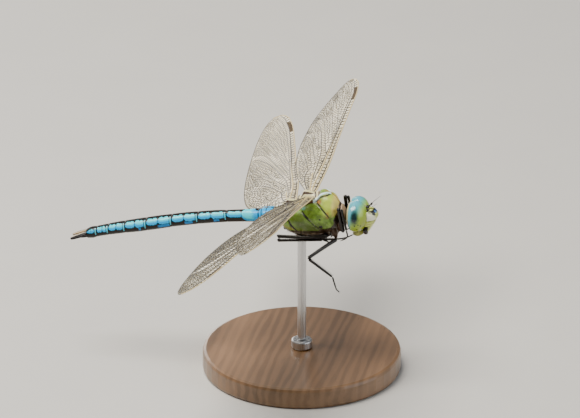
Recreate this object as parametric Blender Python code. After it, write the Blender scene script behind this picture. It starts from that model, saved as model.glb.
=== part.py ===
"""A male emperor dragonfly in flight, life size, on a plain display stand.

The body frame has its origin in the middle of the thorax, with +X towards the head, +Y to the
animal's left and +Z towards its back. It is an empty, held nose up above the stand. Lengths are
named in millimetres and turned to metres where a mesh or a place is made.
"""

import math

import bmesh
import bpy
import numpy as np
from mathutils import Matrix, Vector

MM = 0.001
GAP = 0.15  # clearance between neighbouring pieces
THORAX_ROOM = 0.25  # clearance round the thorax, for what grows out of it

# Stand: a flat round base with one upright rod under the thorax.
BASE_RADIUS = 23.0
BASE_HEIGHT = 5.0
BASE_EDGE = 0.8
ROD_RADIUS = 1.0
ROD_AT = -0.5  # where the rod meets the thorax, along the body
COLLAR_RADIUS = 2.4
COLLAR_HEIGHT = 2.0

# The flying body.
FLIGHT_HEIGHT = 38.0  # of the body frame's origin above the floor
NOSE_UP = 11.5  # degrees

# Thorax: half widths, and heights of back and belly, at stations along the body.
THORAX_STATIONS = (-4.3, -3.6, -2.2, 0.5, 3.5, 6.0, 8.0, 9.2, 9.8)
THORAX_BACK = (2.9, 3.5, 4.1, 5.2, 6.2, 6.5, 5.6, 4.3, 3.1)
THORAX_BELLY = (-1.3, -2.3, -3.2, -3.8, -4.2, -4.1, -3.2, -1.8, 0.0)
THORAX_HALF_WIDTH = (2.0, 2.8, 3.5, 4.1, 4.4, 4.2, 3.5, 2.5, 1.3)
THORAX_NARROWING = (0.2, 0.35, 0.45, 0.5, 0.5, 0.4, 0.2, 0.05, 0.0)  # of the back between the wings
THORAX_SIDES = 20
THORAX_RINGS = 15

# Abdomen: the ends of its ten segments along the body, and its thickness at stations.
SEGMENT_ENDS = (-4.15, -5.7, -9.4, -17.1, -23.9, -30.2, -36.4, -41.6, -45.7, -48.6, -51.3)
ABDOMEN_STATIONS = (-4.15, -5.7, -8.0, -10.5, -15.0, -20.0, -28.0, -38.0, -45.0, -48.6, -50.0, -51.3)
ABDOMEN_HALF_WIDTH = (1.75, 2.15, 2.15, 1.6, 1.3, 1.5, 1.65, 1.7, 1.55, 1.4, 1.3, 1.1)
ABDOMEN_HALF_HEIGHT = (1.75, 1.9, 1.85, 1.6, 1.5, 1.5, 1.53, 1.58, 1.38, 1.3, 1.38, 1.15)
ABDOMEN_CENTRE_HEIGHT = (1.25, 1.4, 1.57, 1.68, 2.03, 2.37, 2.52, 2.17, 1.93, 1.65, 1.5, 1.35)
JOINT_WAIST = 0.9  # a segment's thickness at its ends, as a share of its middle
ABDOMEN_SIDES = 14

# Head, in its own frame behind the face: a little below and ahead of the neck.
HEAD_AT = (13.5, 0.0, -0.45)
HEAD_NOD = 8.0  # degrees, nose down from the body
EYE_CENTRE_OUT = 1.2
EYE_FRONT, EYE_BACK = 2.75, 3.3
EYE_OUTER, EYE_INNER = 3.7, 2.6
EYE_TOP, EYE_BOTTOM = 3.65, 3.65
EYE_FLAT_BACK = -1.3  # the eyes are cut flat behind, where the head's plate meets them

# Wings: outlines from the base to the tip, as (along, forward) of the wing's own axis.
FOREWING_EDGE_FRONT = ((0, 1.5), (10, 2.4), (22, 2.5), (33, 2.7), (42, 2.6), (46.5, 1.3), (49.2, -0.8), (50, -2.2))
FOREWING_EDGE_BACK = (
    (0, -1.4), (3, -3.2), (6, -4.7), (12, -6.6), (20, -8.0), (28, -8.4),
    (36, -8.1), (43, -6.5), (47.5, -4.7), (49.6, -3.3), (50, -2.2),
)
HINDWING_EDGE_FRONT = ((0, 1.8), (8, 2.6), (18, 2.5), (30, 2.6), (40, 2.3), (44.8, 1.3), (47.3, -0.4), (48, -2.4))
HINDWING_EDGE_BACK = (
    (0, -1.5), (1.2, -5.5), (3.5, -8.7), (7, -10.6), (12, -11.4), (18, -11.3),
    (26, -10.3), (34, -8.7), (41, -6.8), (45.5, -4.9), (47.5, -3.4), (48, -2.4),
)
WING_THICKNESS = 0.5
WING_STEPS = 20
WING_STRIPS = 5
WING_ROOT, WING_ROOT_HALF_CHORD = 1.5, 0.9
FOREWING_AT = (3.17, 2.3, 5.64)  # the left base; the right one is its mirror image
HINDWING_AT = (-2.48, 2.3, 3.36)
# Degrees: swept back, raised, leading edge up at the base, the middle and the tip; and the tip's
# droop as a share of the wing's length.
WING_POSES = {
    "wing_fore_left": ("fore", 1, -2.0, 10.9, (2.6, 14.6, 27.4), 0.046),
    "wing_fore_right": ("fore", -1, -0.4, 14.9, (-0.2, 9.4, 19.7), 0.075),
    "wing_hind_left": ("hind", 1, 13.9, 3.5, (15.6, 18.7, 21.1), -0.005),
    "wing_hind_right": ("hind", -1, 14.6, 2.6, (19.4, 17.9, 18.7), 0.011),
}

# Legs: places of the joints on the animal's left side, y outwards.
COXA_RADIUS, HIP_RADIUS = 0.85, 0.55
FEMUR_RADIUS, KNEE_RADIUS = 0.48, 0.4
TIBIA_RADIUS, ANKLE_RADIUS = 0.32, 0.26
TARSUS_RADIUS = 0.25
FORE_LEG_NEAR = {
    "coxa": ((9.2, 1.1, -1.6), (9.5, 1.7, -3.2)),
    "femur": ((10.05, 2.65, -3.4), (10.0, 2.85, -0.5), (10.15, 3.1, 2.35)),
    "tibia": ((10.9, 3.35, 2.1), (11.05, 3.3, -2.9)),
    "tarsus": ((11.05, 3.3, -3.12), (10.85, 3.1, -4.6), (10.1, 2.85, -5.2), (9.2, 2.7, -5.5)),
}
FORE_LEG_FAR = {
    "coxa": ((9.2, 1.1, -1.6), (9.5, 1.7, -3.2)),
    "femur": ((10.05, 2.65, -3.4), (10.3, 3.0, -0.3), (10.5, 3.15, 2.85)),
    "tibia": ((11.2, 3.45, 2.55), (11.1, 3.3, -2.4)),
    "tarsus": ((11.1, 3.3, -2.62), (10.95, 3.1, -4.1), (10.3, 2.85, -4.8), (9.4, 2.7, -5.2)),
}
MID_LEG_HANGING = {
    "coxa": ((7.4, 1.5, -2.9), (7.8, 1.8, -4.6)),
    "femur": ((8.0, 2.55, -5.2), (5.4, 6.0, -5.6), (2.6, 8.8, -6.4)),
    "tibia": ((2.7, 8.8, -7.12), (6.1, 5.8, -13.0)),
    "tarsus": ((6.2, 5.75, -13.25), (6.5, 6.3, -14.9), (6.9, 7.0, -15.8), (7.5, 7.7, -16.1)),
}
MID_LEG_TUCKED = {
    "coxa": ((7.4, 1.5, -2.9), (7.8, 1.8, -4.6)),
    "femur": ((7.3, 2.1, -5.4), (3.2, 2.2, -5.85), (-0.9, 2.2, -5.5)),
    "tibia": ((-0.9, 2.2, -6.4), (6.4, 1.9, -7.0)),
    "tarsus": ((6.65, 1.9, -7.0), (8.4, 1.8, -6.9), (9.7, 1.7, -6.6), (10.8, 1.6, -6.2)),
}
HIND_LEG = {
    "coxa": ((5.4, 1.7, -2.9), (5.8, 2.15, -4.05)),
    "femur": ((6.4, 3.2, -3.85), (0.6, 3.5, -3.45), (-5.3, 3.5, -2.6)),
    "tibia": ((-5.3, 3.5, -3.65), (5.0, 3.4, -4.7)),
    "tarsus": ((5.25, 3.4, -4.75), (6.1, 3.1, -5.4), (5.9, 2.9, -6.2), (5.2, 2.9, -6.7)),
}
LEGS = {
    "leg_fore_left": (FORE_LEG_FAR, 1),
    "leg_fore_right": (FORE_LEG_NEAR, -1),
    "leg_mid_left": (MID_LEG_TUCKED, 1),
    "leg_mid_right": (MID_LEG_HANGING, -1),
    "leg_hind_left": (HIND_LEG, 1),
    "leg_hind_right": (HIND_LEG, -1),
}

# Tail end.
CERCUS_LENGTH = 3.9
CERCUS_HALF_WIDTH = 0.72
EPIPROCT_LENGTH = 1.7
APPENDAGE_THICKNESS = 0.5


# ---------------------------------------------------------------- helpers


def clear_scene():
    for obj in list(bpy.data.objects):
        bpy.data.objects.remove(obj)


def finish(name, color, roughness, metallic=0.0):
    """A Principled material of one colour."""
    material = bpy.data.materials.new(name)
    material.use_nodes = True
    shader = material.node_tree.nodes["Principled BSDF"]
    shader.inputs["Base Color"].default_value = (*color, 1.0)
    shader.inputs["Roughness"].default_value = roughness
    shader.inputs["Metallic"].default_value = metallic
    return material


def frame(name, at, turn, parent=None):
    """An empty that carries pieces: its place in millimetres and its turn about Y in degrees."""
    empty = bpy.data.objects.new(name, None)
    bpy.context.scene.collection.objects.link(empty)
    empty.location = Vector(at) * MM
    empty.rotation_euler = (0.0, math.radians(turn), 0.0)
    empty.parent = parent
    return empty


def place(name, data, material, parent, smooth=True):
    """An object for a mesh or curve, in its parent's frame."""
    obj = bpy.data.objects.new(name, data)
    bpy.context.scene.collection.objects.link(obj)
    obj.parent = parent
    data.materials.append(material)
    if smooth and obj.type == "MESH":
        data.shade_smooth()
        data.set_sharp_from_angle(angle=math.radians(50))
    return obj


def mesh_of(bm, name):
    """The mesh of a bmesh, with its faces pointing out and its lengths in metres."""
    bmesh.ops.recalc_face_normals(bm, faces=bm.faces)
    bmesh.ops.scale(bm, vec=(MM, MM, MM), verts=bm.verts)
    mesh = bpy.data.meshes.new(name)
    bm.to_mesh(mesh)
    bm.free()
    return mesh


def through(stations, values, at):
    """A smooth curve through the values: cubic pieces whose slopes come from the neighbours."""
    x, y = np.asarray(stations, float), np.asarray(values, float)
    if x[0] > x[-1]:
        x, y = x[::-1], y[::-1]
    slope = np.gradient(y, x)
    at = np.clip(at, x[0], x[-1])
    k = np.clip(np.searchsorted(x, at) - 1, 0, len(x) - 2)
    width = x[k + 1] - x[k]
    t = (at - x[k]) / width
    rise = t * t * (3 - 2 * t)
    bend = width * t * (1 - t) * ((1 - t) * slope[k] - t * slope[k + 1])
    return (1 - rise) * y[k] + rise * y[k + 1] + bend


def loft(name, rings):
    """A closed mesh through rings of points, each bridged to the next, with flat ends."""
    bm = bmesh.new()
    loops = []
    for ring in rings:
        verts = [bm.verts.new(point) for point in ring]
        loops.append([bm.edges.new(pair) for pair in zip(verts, verts[1:] + verts[:1])])
    for first, second in zip(loops, loops[1:]):
        bmesh.ops.bridge_loops(bm, edges=first + second)
    bmesh.ops.holes_fill(bm, edges=loops[0] + loops[-1])
    return mesh_of(bm, name)


def tube(name, points, radii, sides=8):
    """A round tube through points, with a radius at each, its ends flat."""
    curve = bpy.data.curves.new(name, "CURVE")
    curve.dimensions = "3D"
    curve.bevel_depth = MM
    curve.bevel_resolution = (sides - 4) // 2
    curve.use_fill_caps = True
    spline = curve.splines.new("POLY")
    spline.points.add(len(points) - 1)
    for knot, point, radius in zip(spline.points, points, radii):
        knot.co = (*(Vector(point) * MM), 1.0)
        knot.radius = radius
    return curve


def cut(piece, cutter):
    """Takes a hidden cutter's shape out of a piece."""
    modifier = piece.modifiers.new("clear_of_" + cutter.name, "BOOLEAN")
    modifier.operation = "DIFFERENCE"
    modifier.solver = "EXACT"
    modifier.object = cutter
    cutter.hide_render = True
    cutter.display_type = "WIRE"


def mirrored(point, side):
    return (point[0], point[1] * side, point[2])


# ---------------------------------------------------------------- thorax and neck


def thorax_ring(along, grow=0.0):
    """A section of the thorax: an oval with a squarish belly, narrowing to the wings' roots."""
    back = through(THORAX_STATIONS, THORAX_BACK, along) + grow
    belly = through(THORAX_STATIONS, THORAX_BELLY, along) - grow
    half = through(THORAX_STATIONS, THORAX_HALF_WIDTH, along) + grow
    narrowing = through(THORAX_STATIONS, THORAX_NARROWING, along)
    turn = np.linspace(0, 2 * np.pi, THORAX_SIDES, endpoint=False)
    c, s = np.cos(turn), np.sin(turn)
    y = half * np.sign(c) * np.abs(c) ** 0.85 * (1 - narrowing * np.maximum(s, 0) ** 1.3)
    z = (back + belly) / 2 + (back - belly) / 2 * s
    return [(along, *yz) for yz in zip(y, z)]


def thorax_mesh(name, grow=0.0):
    first, last = THORAX_STATIONS[0] - grow, THORAX_STATIONS[-1] + grow
    share = (1 - np.cos(np.linspace(0, np.pi, THORAX_RINGS))) / 2
    return loft(name, [thorax_ring(x, grow) for x in first + (last - first) * share])


def oval_ring(along, half_width, half_height, centre_height, sides=14):
    turn = np.linspace(0, 2 * np.pi, sides, endpoint=False)
    return [
        (along, half_width * math.cos(a), centre_height + half_height * math.sin(a)) for a in turn
    ]


def build_thorax(body, material):
    thorax = place("thorax", thorax_mesh("thorax"), material, body)
    clearance = place("thorax_room", thorax_mesh("thorax_room", THORAX_ROOM), material, body)
    neck = loft(
        "prothorax",
        [
            oval_ring(8.6, 1.5, 1.7, 0.6),
            oval_ring(9.6, 1.9, 2.3, 0.4),
            oval_ring(10.5, 1.7, 2.1, 0.1),
            oval_ring(10.85, 1.0, 1.2, 0.0),
        ],
    )
    prothorax = place("prothorax", neck, material, body)
    cut(prothorax, clearance)
    return thorax, clearance, prothorax


# ---------------------------------------------------------------- abdomen


def abdomen_ring(along, swell):
    """A section of the abdomen: an oval with a flattened underside."""
    half = through(ABDOMEN_STATIONS, ABDOMEN_HALF_WIDTH, along) * swell
    tall = through(ABDOMEN_STATIONS, ABDOMEN_HALF_HEIGHT, along) * swell
    centre = through(ABDOMEN_STATIONS, ABDOMEN_CENTRE_HEIGHT, along)
    turn = np.linspace(0, 2 * np.pi, ABDOMEN_SIDES, endpoint=False)
    c, s = np.cos(turn), np.sin(turn)
    y = half * np.sign(c) * np.abs(c) ** 0.9
    z = centre + tall * np.where(s < 0, 0.9 * s, s)
    return [(along, *yz) for yz in zip(y, z)]


def build_abdomen(body, materials, thorax_clearance):
    """Ten segments, each swelling a little between its joints."""
    pieces = []
    for number, (front, back) in enumerate(zip(SEGMENT_ENDS, SEGMENT_ENDS[1:]), start=1):
        rings = []
        for share in (0.0, 0.12, 0.5, 0.88, 1.0):
            along = front - GAP / 2 + (back - front + GAP) * share
            swell = JOINT_WAIST if share in (0.0, 1.0) else 1.0
            rings.append(abdomen_ring(along, swell))
        name = f"abdomen_{number:02d}"
        material = materials["green"] if number == 1 else materials["blue"]
        pieces.append(place(name, loft(name, rings), material, body))
    cut(pieces[0], thorax_clearance)
    cut(pieces[1], thorax_clearance)
    return pieces


def blade(name, outline, thickness, parent, material):
    """A flat blade with this outline in its own XY plane."""
    bm = bmesh.new()
    face = bm.faces.new([bm.verts.new((x, y, 0.0)) for x, y in outline])
    solid = bmesh.ops.extrude_face_region(bm, geom=[face])
    top = [v for v in solid["geom"] if isinstance(v, bmesh.types.BMVert)]
    bmesh.ops.translate(bm, verts=top, vec=(0.0, 0.0, thickness))
    bmesh.ops.translate(bm, verts=bm.verts, vec=(0.0, 0.0, -thickness / 2))
    return place(name, mesh_of(bm, name), material, parent, smooth=False)


def cercus_outline(side):
    """A leaf: a narrow stalk that widens to a blade with an outer corner near its tip."""
    share = np.linspace(0, 1, 9)
    width = CERCUS_HALF_WIDTH * (0.38 + 0.62 * np.sin(np.pi * np.clip(share, 0, 1) ** 0.8) ** 0.7)
    width[-1] = 0.22
    inner = [(-CERCUS_LENGTH * t, -side * w) for t, w in zip(share, width)]
    outer = [(-CERCUS_LENGTH * t, side * w) for t, w in zip(share, width)]
    return inner + outer[::-1]


def build_tail_end(body, material):
    """Two long upper blades and one short lower one behind the last segment."""
    back = SEGMENT_ENDS[-1] - GAP
    height = ABDOMEN_CENTRE_HEIGHT[-1]
    for name, side in (("cercus_left", 1), ("cercus_right", -1)):
        leaf = blade(name, cercus_outline(side), APPENDAGE_THICKNESS, body, material)
        leaf.location = Vector((back, side * 0.95, height + 0.4)) * MM
        leaf.rotation_euler = (math.radians(side * -16), math.radians(-12), math.radians(side * -4))
    outline = [(0, 0.45), (-EPIPROCT_LENGTH, 0.38), (-EPIPROCT_LENGTH, -0.38), (0, -0.45)]
    plate = blade("epiproct", outline, APPENDAGE_THICKNESS, body, material)
    plate.location = Vector((back, 0.0, height - 0.65)) * MM
    plate.rotation_euler = (0.0, math.radians(-4), 0.0)


# ---------------------------------------------------------------- head


def eye_mesh(name, side, grow=0.0):
    """A compound eye: a ball with a reach of its own on every side, cut flat at the other eye and behind."""
    bm = bmesh.new()
    bmesh.ops.create_uvsphere(bm, u_segments=20, v_segments=12, radius=1.0)
    for vert in bm.verts:
        x, y, z = vert.co
        out = y * side
        vert.co = (
            x * ((EYE_FRONT if x > 0 else EYE_BACK) + grow),
            side * (EYE_CENTRE_OUT + out * ((EYE_OUTER if out > 0 else EYE_INNER) + grow)),
            z * ((EYE_TOP if z > 0 else EYE_BOTTOM) + grow),
        )
    seam = side * (GAP / 2 - grow)
    for point, normal in (((0, seam, 0), (0, -side, 0)), ((EYE_FLAT_BACK - grow, 0, 0), (-1, 0, 0))):
        whole = bm.verts[:] + bm.edges[:] + bm.faces[:]
        bmesh.ops.bisect_plane(bm, geom=whole, plane_co=point, plane_no=normal, clear_outer=True)
        bmesh.ops.holes_fill(bm, edges=bm.edges)
    return mesh_of(bm, name)


def face_mesh(name, levels, back):
    """A face plate: flat-backed level sections (height, reach forward, half width), bowed across."""
    turn = np.linspace(-np.pi / 2, np.pi / 2, 11)
    rings = []
    for height, reach, half in levels:
        bow = back + (reach - back) * np.cos(turn) ** 0.55
        across = half * np.sin(turn)
        rings.append([(x, y, height) for x, y in zip(bow, across)])
    return loft(name, rings)


def build_head(body, materials):
    head = frame("head_frame", HEAD_AT, HEAD_NOD, body)
    room = []
    for name, side in (("eye_left", 1), ("eye_right", -1)):
        place(name, eye_mesh(name, side), materials["eye"], head)
        room.append(place(name + "_room", eye_mesh(name + "_room", side, GAP), materials["eye"], head))
    plate = loft(
        "head",
        [
            oval_ring(-2.3, 1.2, 1.4, -0.1, 18),
            oval_ring(-2.1, 2.6, 2.3, -0.1, 18),
            oval_ring(-1.75, 3.7, 2.9, -0.1, 18),
            oval_ring(-1.45, 4.1, 3.1, -0.1, 18),
        ],
    )
    place("head", plate, materials["pale"], head)
    levels = {
        "frons": (0.9, (1.6, 3.3, 0.9), (1.35, 4.0, 1.5), (0.7, 4.65, 2.1), (-0.1, 4.8, 2.3), (-0.95, 4.5, 2.4)),
        "clypeus": (0.9, (-1.1, 4.4, 2.4), (-1.6, 4.2, 2.5), (-2.2, 3.8, 2.4)),
        "labrum": (1.5, (-2.35, 3.65, 2.2), (-3.0, 3.35, 2.2), (-3.8, 2.75, 1.9), (-4.4, 2.2, 1.3)),
    }
    for name, (back, *sections) in levels.items():
        piece = place(name, face_mesh(name, sections, back), materials["face"], head)
        for cutter in room:
            cut(piece, cutter)
    lip = loft(
        "labium",
        [
            [(x + 0.1, y, -5.05) for x, y in level_oval(0.7, 1.2)],
            [(x + 0.1, y, -4.75) for x, y in level_oval(1.15, 1.8)],
            [(x - 0.05, y, -4.0) for x, y in level_oval(1.3, 2.1)],
            [(x - 0.05, y, -3.0) for x, y in level_oval(1.25, 1.9)],
        ],
    )
    labium = place("labium", lip, materials["pale"], head)
    for cutter in room:
        cut(labium, cutter)
    for name, side in (("mandible_left", 1), ("mandible_right", -1)):
        jaw = loft(
            name,
            [
                [(x + 1.75, side * 2.1 + y, -4.3) for x, y in level_oval(0.35, 0.3)],
                [(x + 1.95, side * 2.42 + y, -3.7) for x, y in level_oval(0.55, 0.32)],
                [(x + 2.2, side * 2.62 + y, -2.9) for x, y in level_oval(0.5, 0.3)],
            ],
        )
        piece = place(name, jaw, materials["dark"], head)
        for cutter in room:
            cut(piece, cutter)
    for name, side in (("antenna_left", 1), ("antenna_right", -1)):
        route = [(2.95, 1.75, 1.75), (3.4, 1.9, 2.2), (5.1, 2.2, 3.6)]
        feeler = tube(name, [mirrored(p, side) for p in route], (0.3, 0.26, 0.25), sides=6)
        place(name, feeler, materials["dark"], head)
    return head


def level_oval(half_length, half_width, sides=12):
    turn = np.linspace(0, 2 * np.pi, sides, endpoint=False)
    return [(half_length * math.cos(a), half_width * math.sin(a)) for a in turn]


# ---------------------------------------------------------------- wings


def edge_points(outline, count):
    """Points spread evenly along a smooth edge through the outline's own points."""
    knots = np.array(outline, float)
    walked = np.concatenate([[0], np.cumsum(np.hypot(*np.diff(knots, axis=0).T))])
    at = np.linspace(0, walked[-1], count)
    return np.stack([through(walked, knots[:, 0], at), through(walked, knots[:, 1], at)], 1)


def wing_mesh(name, kind, side, twists, droop):
    """A wing: strips from the front to the back edge, twisted along the span and drooping at the tip.

    A straight root reaches inwards from the wing's base, for the thorax's clearance to trim.
    """
    front_outline, back_outline = {
        "fore": (FOREWING_EDGE_FRONT, FOREWING_EDGE_BACK),
        "hind": (HINDWING_EDGE_FRONT, HINDWING_EDGE_BACK),
    }[kind]
    length = front_outline[-1][0]
    front = edge_points(front_outline, WING_STEPS + 1)
    back = edge_points(back_outline, WING_STEPS + 1)
    bm = bmesh.new()
    rows = []
    root = np.array([[-WING_ROOT, WING_ROOT_HALF_CHORD], [-WING_ROOT, -WING_ROOT_HALF_CHORD]])
    front, back = np.vstack([root[:1], front]), np.vstack([root[1:], back])
    for a, b in zip(front[:-1], back[:-1]):
        row = []
        for share in np.linspace(0, 1, WING_STRIPS + 1):
            row.append(wing_point(a + (b - a) * share, length, side, twists, droop))
        rows.append([bm.verts.new(p) for p in row])
    tip = bm.verts.new(wing_point(front[-1], length, side, twists, droop))
    for row, following in zip(rows, rows[1:]):
        for i in range(WING_STRIPS):
            bm.faces.new((row[i], row[i + 1], following[i + 1], following[i]))
    for i in range(WING_STRIPS):
        bm.faces.new((rows[-1][i], rows[-1][i + 1], tip))
    return mesh_of(bm, name)


def wing_point(flat, length, side, twists, droop):
    """Where a point of the flat wing goes: twisted about the wing's axis, lowered towards the tip."""
    out, forward = flat
    share = out / length
    base, middle, tip = twists
    slope, curve = 4 * middle - 3 * base - tip, 2 * base + 2 * tip - 4 * middle
    twist = math.radians(base + slope * share + curve * share * share)
    return (
        forward * math.cos(twist),
        side * out,
        forward * math.sin(twist) - droop * length * share * share,
    )


def build_wings(body, material, thorax_clearance):
    """Four wings, trimmed clear of the thorax; the hind pair also of the abdomen's front."""
    waist = [abdomen_ring(along, 1.15) for along in (-3.9, -5.7, -8.0, -10.5)]
    waist_clearance = place("waist_room", loft("waist_room", waist), material, body)
    for name, (kind, side, sweep, lift, twists, droop) in WING_POSES.items():
        mesh = wing_mesh(name, kind, side, twists, droop)
        wing = place(name, mesh, material, body)
        base = FOREWING_AT if kind == "fore" else HINDWING_AT
        wing.location = Vector(mirrored(base, side)) * MM
        wing.rotation_euler = (math.radians(side * lift), 0.0, math.radians(side * sweep))
        plate = wing.modifiers.new("thickness", "SOLIDIFY")
        plate.thickness = WING_THICKNESS * MM
        plate.offset = 0.0
        plate.use_even_offset = True
        cut(wing, thorax_clearance)
        if kind == "hind":
            cut(wing, waist_clearance)


# ---------------------------------------------------------------- legs


def coxa_mesh(name, top, end):
    """A hip: a short cone from the thorax's underside."""
    start, finish_ = Vector(top), Vector(end)
    turned = (finish_ - start).to_track_quat("Z", "Y")
    rings = []
    for share, radius in ((0.0, COXA_RADIUS), (0.55, COXA_RADIUS * 0.9), (1.0, HIP_RADIUS)):
        centre = start.lerp(finish_, share)
        ring = [centre + turned @ Vector((radius * x, radius * y, 0.0)) for x, y in level_oval(1, 1, 8)]
        rings.append(ring)
    return loft(name, rings)


def build_legs(body, material, thorax_clearance, prothorax):
    neck_room = place(
        "neck_room",
        loft("neck_room", [oval_ring(x, 2.0, 2.45, 0.4) for x in (8.4, 11.0)]),
        material,
        body,
    )
    radii = {
        "femur": (FEMUR_RADIUS, KNEE_RADIUS),
        "tibia": (TIBIA_RADIUS, ANKLE_RADIUS),
        "tarsus": (TARSUS_RADIUS, TARSUS_RADIUS),
    }
    for leg, (joints, side) in LEGS.items():
        top, end = (mirrored(p, side) for p in joints["coxa"])
        coxa = place(leg + "_coxa", coxa_mesh(leg + "_coxa", top, end), material, body)
        cut(coxa, thorax_clearance)
        if "fore" in leg:
            cut(coxa, neck_room)
        for part, (thick, thin) in radii.items():
            route = [mirrored(p, side) for p in joints[part]]
            thickness = np.linspace(thick, thin, len(route))
            place(f"{leg}_{part}", tube(f"{leg}_{part}", route, thickness), material, body)


# ---------------------------------------------------------------- stand


def turned_piece(name, radius, low, high, edge, material, sides=48):
    """An upright round piece with rounded edges."""
    bm = bmesh.new()
    bmesh.ops.create_cone(
        bm, cap_ends=True, segments=sides, radius1=radius, radius2=radius, depth=high - low
    )
    bmesh.ops.translate(bm, verts=bm.verts, vec=(0.0, 0.0, (low + high) / 2))
    rims = [e for e in bm.edges if abs(e.verts[0].co.z - e.verts[1].co.z) < 1e-6]
    bmesh.ops.bevel(bm, geom=rims, offset=edge, segments=2, profile=0.5, affect="EDGES")
    return place(name, mesh_of(bm, name), material, None)


def build_stand(materials):
    turned_piece("stand_base", BASE_RADIUS, 0.0, BASE_HEIGHT, BASE_EDGE, materials["base"])
    collar_top = BASE_HEIGHT + GAP + COLLAR_HEIGHT
    turned_piece("stand_collar", COLLAR_RADIUS, BASE_HEIGHT + GAP, collar_top, 0.3, materials["rod"], 24)
    tilt = math.radians(NOSE_UP)
    belly = through(THORAX_STATIONS, THORAX_BELLY, ROD_AT)
    top = FLIGHT_HEIGHT + belly * math.cos(tilt) + ROD_AT * math.sin(tilt) - GAP
    turned_piece("stand_rod", ROD_RADIUS, collar_top + GAP, top, 0.2, materials["rod"], 20)


def body_offset():
    """How far the body frame stands from the rod, so that the rod meets the belly over the base's middle."""
    tilt = math.radians(NOSE_UP)
    belly = through(THORAX_STATIONS, THORAX_BELLY, ROD_AT)
    return -(ROD_AT * math.cos(tilt) - belly * math.sin(tilt))


def main():
    clear_scene()
    materials = {
        "green": finish("thorax_green", (0.33, 0.45, 0.08), 0.45),
        "blue": finish("abdomen_blue", (0.06, 0.42, 0.72), 0.35),
        "eye": finish("eye_green_blue", (0.25, 0.5, 0.35), 0.15),
        "face": finish("face_yellow_green", (0.6, 0.65, 0.15), 0.4),
        "pale": finish("pale_olive", (0.5, 0.45, 0.22), 0.5),
        "dark": finish("leg_black", (0.02, 0.017, 0.015), 0.3),
        "wing": finish("wing_film", (0.55, 0.48, 0.33), 0.25),
        "base": finish("stand_base_paint", (0.12, 0.11, 0.1), 0.5),
        "rod": finish("stand_rod_steel", (0.6, 0.6, 0.6), 0.3, 1.0),
    }
    body = frame("body_frame", (body_offset(), 0.0, FLIGHT_HEIGHT), -NOSE_UP)
    _, thorax_clearance, prothorax = build_thorax(body, materials["green"])
    build_abdomen(body, materials, thorax_clearance)
    build_tail_end(body, materials["dark"])
    build_head(body, materials)
    build_wings(body, materials["wing"], thorax_clearance)
    build_legs(body, materials["dark"], thorax_clearance, prothorax)
    build_stand(materials)


main()
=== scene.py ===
"""A male emperor dragonfly in flight, life size, on a plain display stand: its finished surfaces.

Every piece is built round the packed solids. Most pieces stand for one of them, and the others (veins,
wing spots, crown, hairs and the stand's cup) are added to them. Shapes are worked out in the body
frame, in millimetres: the origin is in the middle of the thorax, +X is towards the head, +Y to the
animal's left and +Z towards its back. fly() carries them to where the body hangs.
"""

import math

import bpy
import numpy as np
from bpy.props import FloatProperty, FloatVectorProperty, IntProperty, PointerProperty
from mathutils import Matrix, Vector
from mathutils.geometry import delaunay_2d_cdt


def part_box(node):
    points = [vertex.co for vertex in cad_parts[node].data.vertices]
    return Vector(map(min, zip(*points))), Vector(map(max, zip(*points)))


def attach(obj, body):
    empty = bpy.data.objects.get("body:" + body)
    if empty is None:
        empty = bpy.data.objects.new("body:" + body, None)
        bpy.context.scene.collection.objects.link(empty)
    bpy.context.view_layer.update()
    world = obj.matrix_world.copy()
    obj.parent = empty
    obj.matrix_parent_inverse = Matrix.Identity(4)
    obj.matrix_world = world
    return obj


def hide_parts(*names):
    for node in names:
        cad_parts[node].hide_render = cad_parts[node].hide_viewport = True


bl_info = {
    "name": "Emperor Dragonfly",
    "version": (1, 0, 0),
    "blender": (4, 5, 0),
    "location": "3D View > Sidebar > Dragonfly",
    "description": "Shell, wings, eyes and legs of a life-size dragonfly on a display stand",
    "category": "Add Mesh",
}

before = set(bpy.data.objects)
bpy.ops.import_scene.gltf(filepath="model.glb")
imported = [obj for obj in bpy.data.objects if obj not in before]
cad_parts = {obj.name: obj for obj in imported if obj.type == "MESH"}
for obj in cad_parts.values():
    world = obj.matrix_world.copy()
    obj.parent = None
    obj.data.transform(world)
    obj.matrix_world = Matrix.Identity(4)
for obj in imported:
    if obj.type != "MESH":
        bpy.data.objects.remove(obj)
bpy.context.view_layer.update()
MM = 0.001

# ---------------------------------------------------------------- the solids' driving sizes
GAP = 0.15
NOSE_UP = math.radians(11.5)
ROD_AT = -0.5
THORAX_STATIONS = (-4.3, -3.6, -2.2, 0.5, 3.5, 6.0, 8.0, 9.2, 9.8)
THORAX_BACK = (2.9, 3.5, 4.1, 5.2, 6.2, 6.5, 5.6, 4.3, 3.1)
THORAX_BELLY = (-1.3, -2.3, -3.2, -3.8, -4.2, -4.1, -3.2, -1.8, 0.0)
THORAX_HALF_WIDTH = (2.0, 2.8, 3.5, 4.1, 4.4, 4.2, 3.5, 2.5, 1.3)
THORAX_NARROWING = (0.2, 0.35, 0.45, 0.5, 0.5, 0.4, 0.2, 0.05, 0.0)

SEGMENT_ENDS = (-4.15, -5.7, -9.4, -17.1, -23.9, -30.2, -36.4, -41.6, -45.7, -48.6, -51.3)
ABDOMEN_STATIONS = (-4.15, -5.7, -8.0, -10.5, -15.0, -20.0, -28.0, -38.0, -45.0, -48.6, -50.0, -51.3)
ABDOMEN_HALF_WIDTH = (1.75, 2.15, 2.15, 1.6, 1.3, 1.5, 1.65, 1.7, 1.55, 1.4, 1.3, 1.1)
ABDOMEN_HALF_HEIGHT = (1.75, 1.9, 1.85, 1.6, 1.5, 1.5, 1.53, 1.58, 1.38, 1.3, 1.38, 1.15)
ABDOMEN_CENTRE_HEIGHT = (1.25, 1.4, 1.57, 1.68, 2.03, 2.37, 2.52, 2.17, 1.93, 1.65, 1.5, 1.35)

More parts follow.
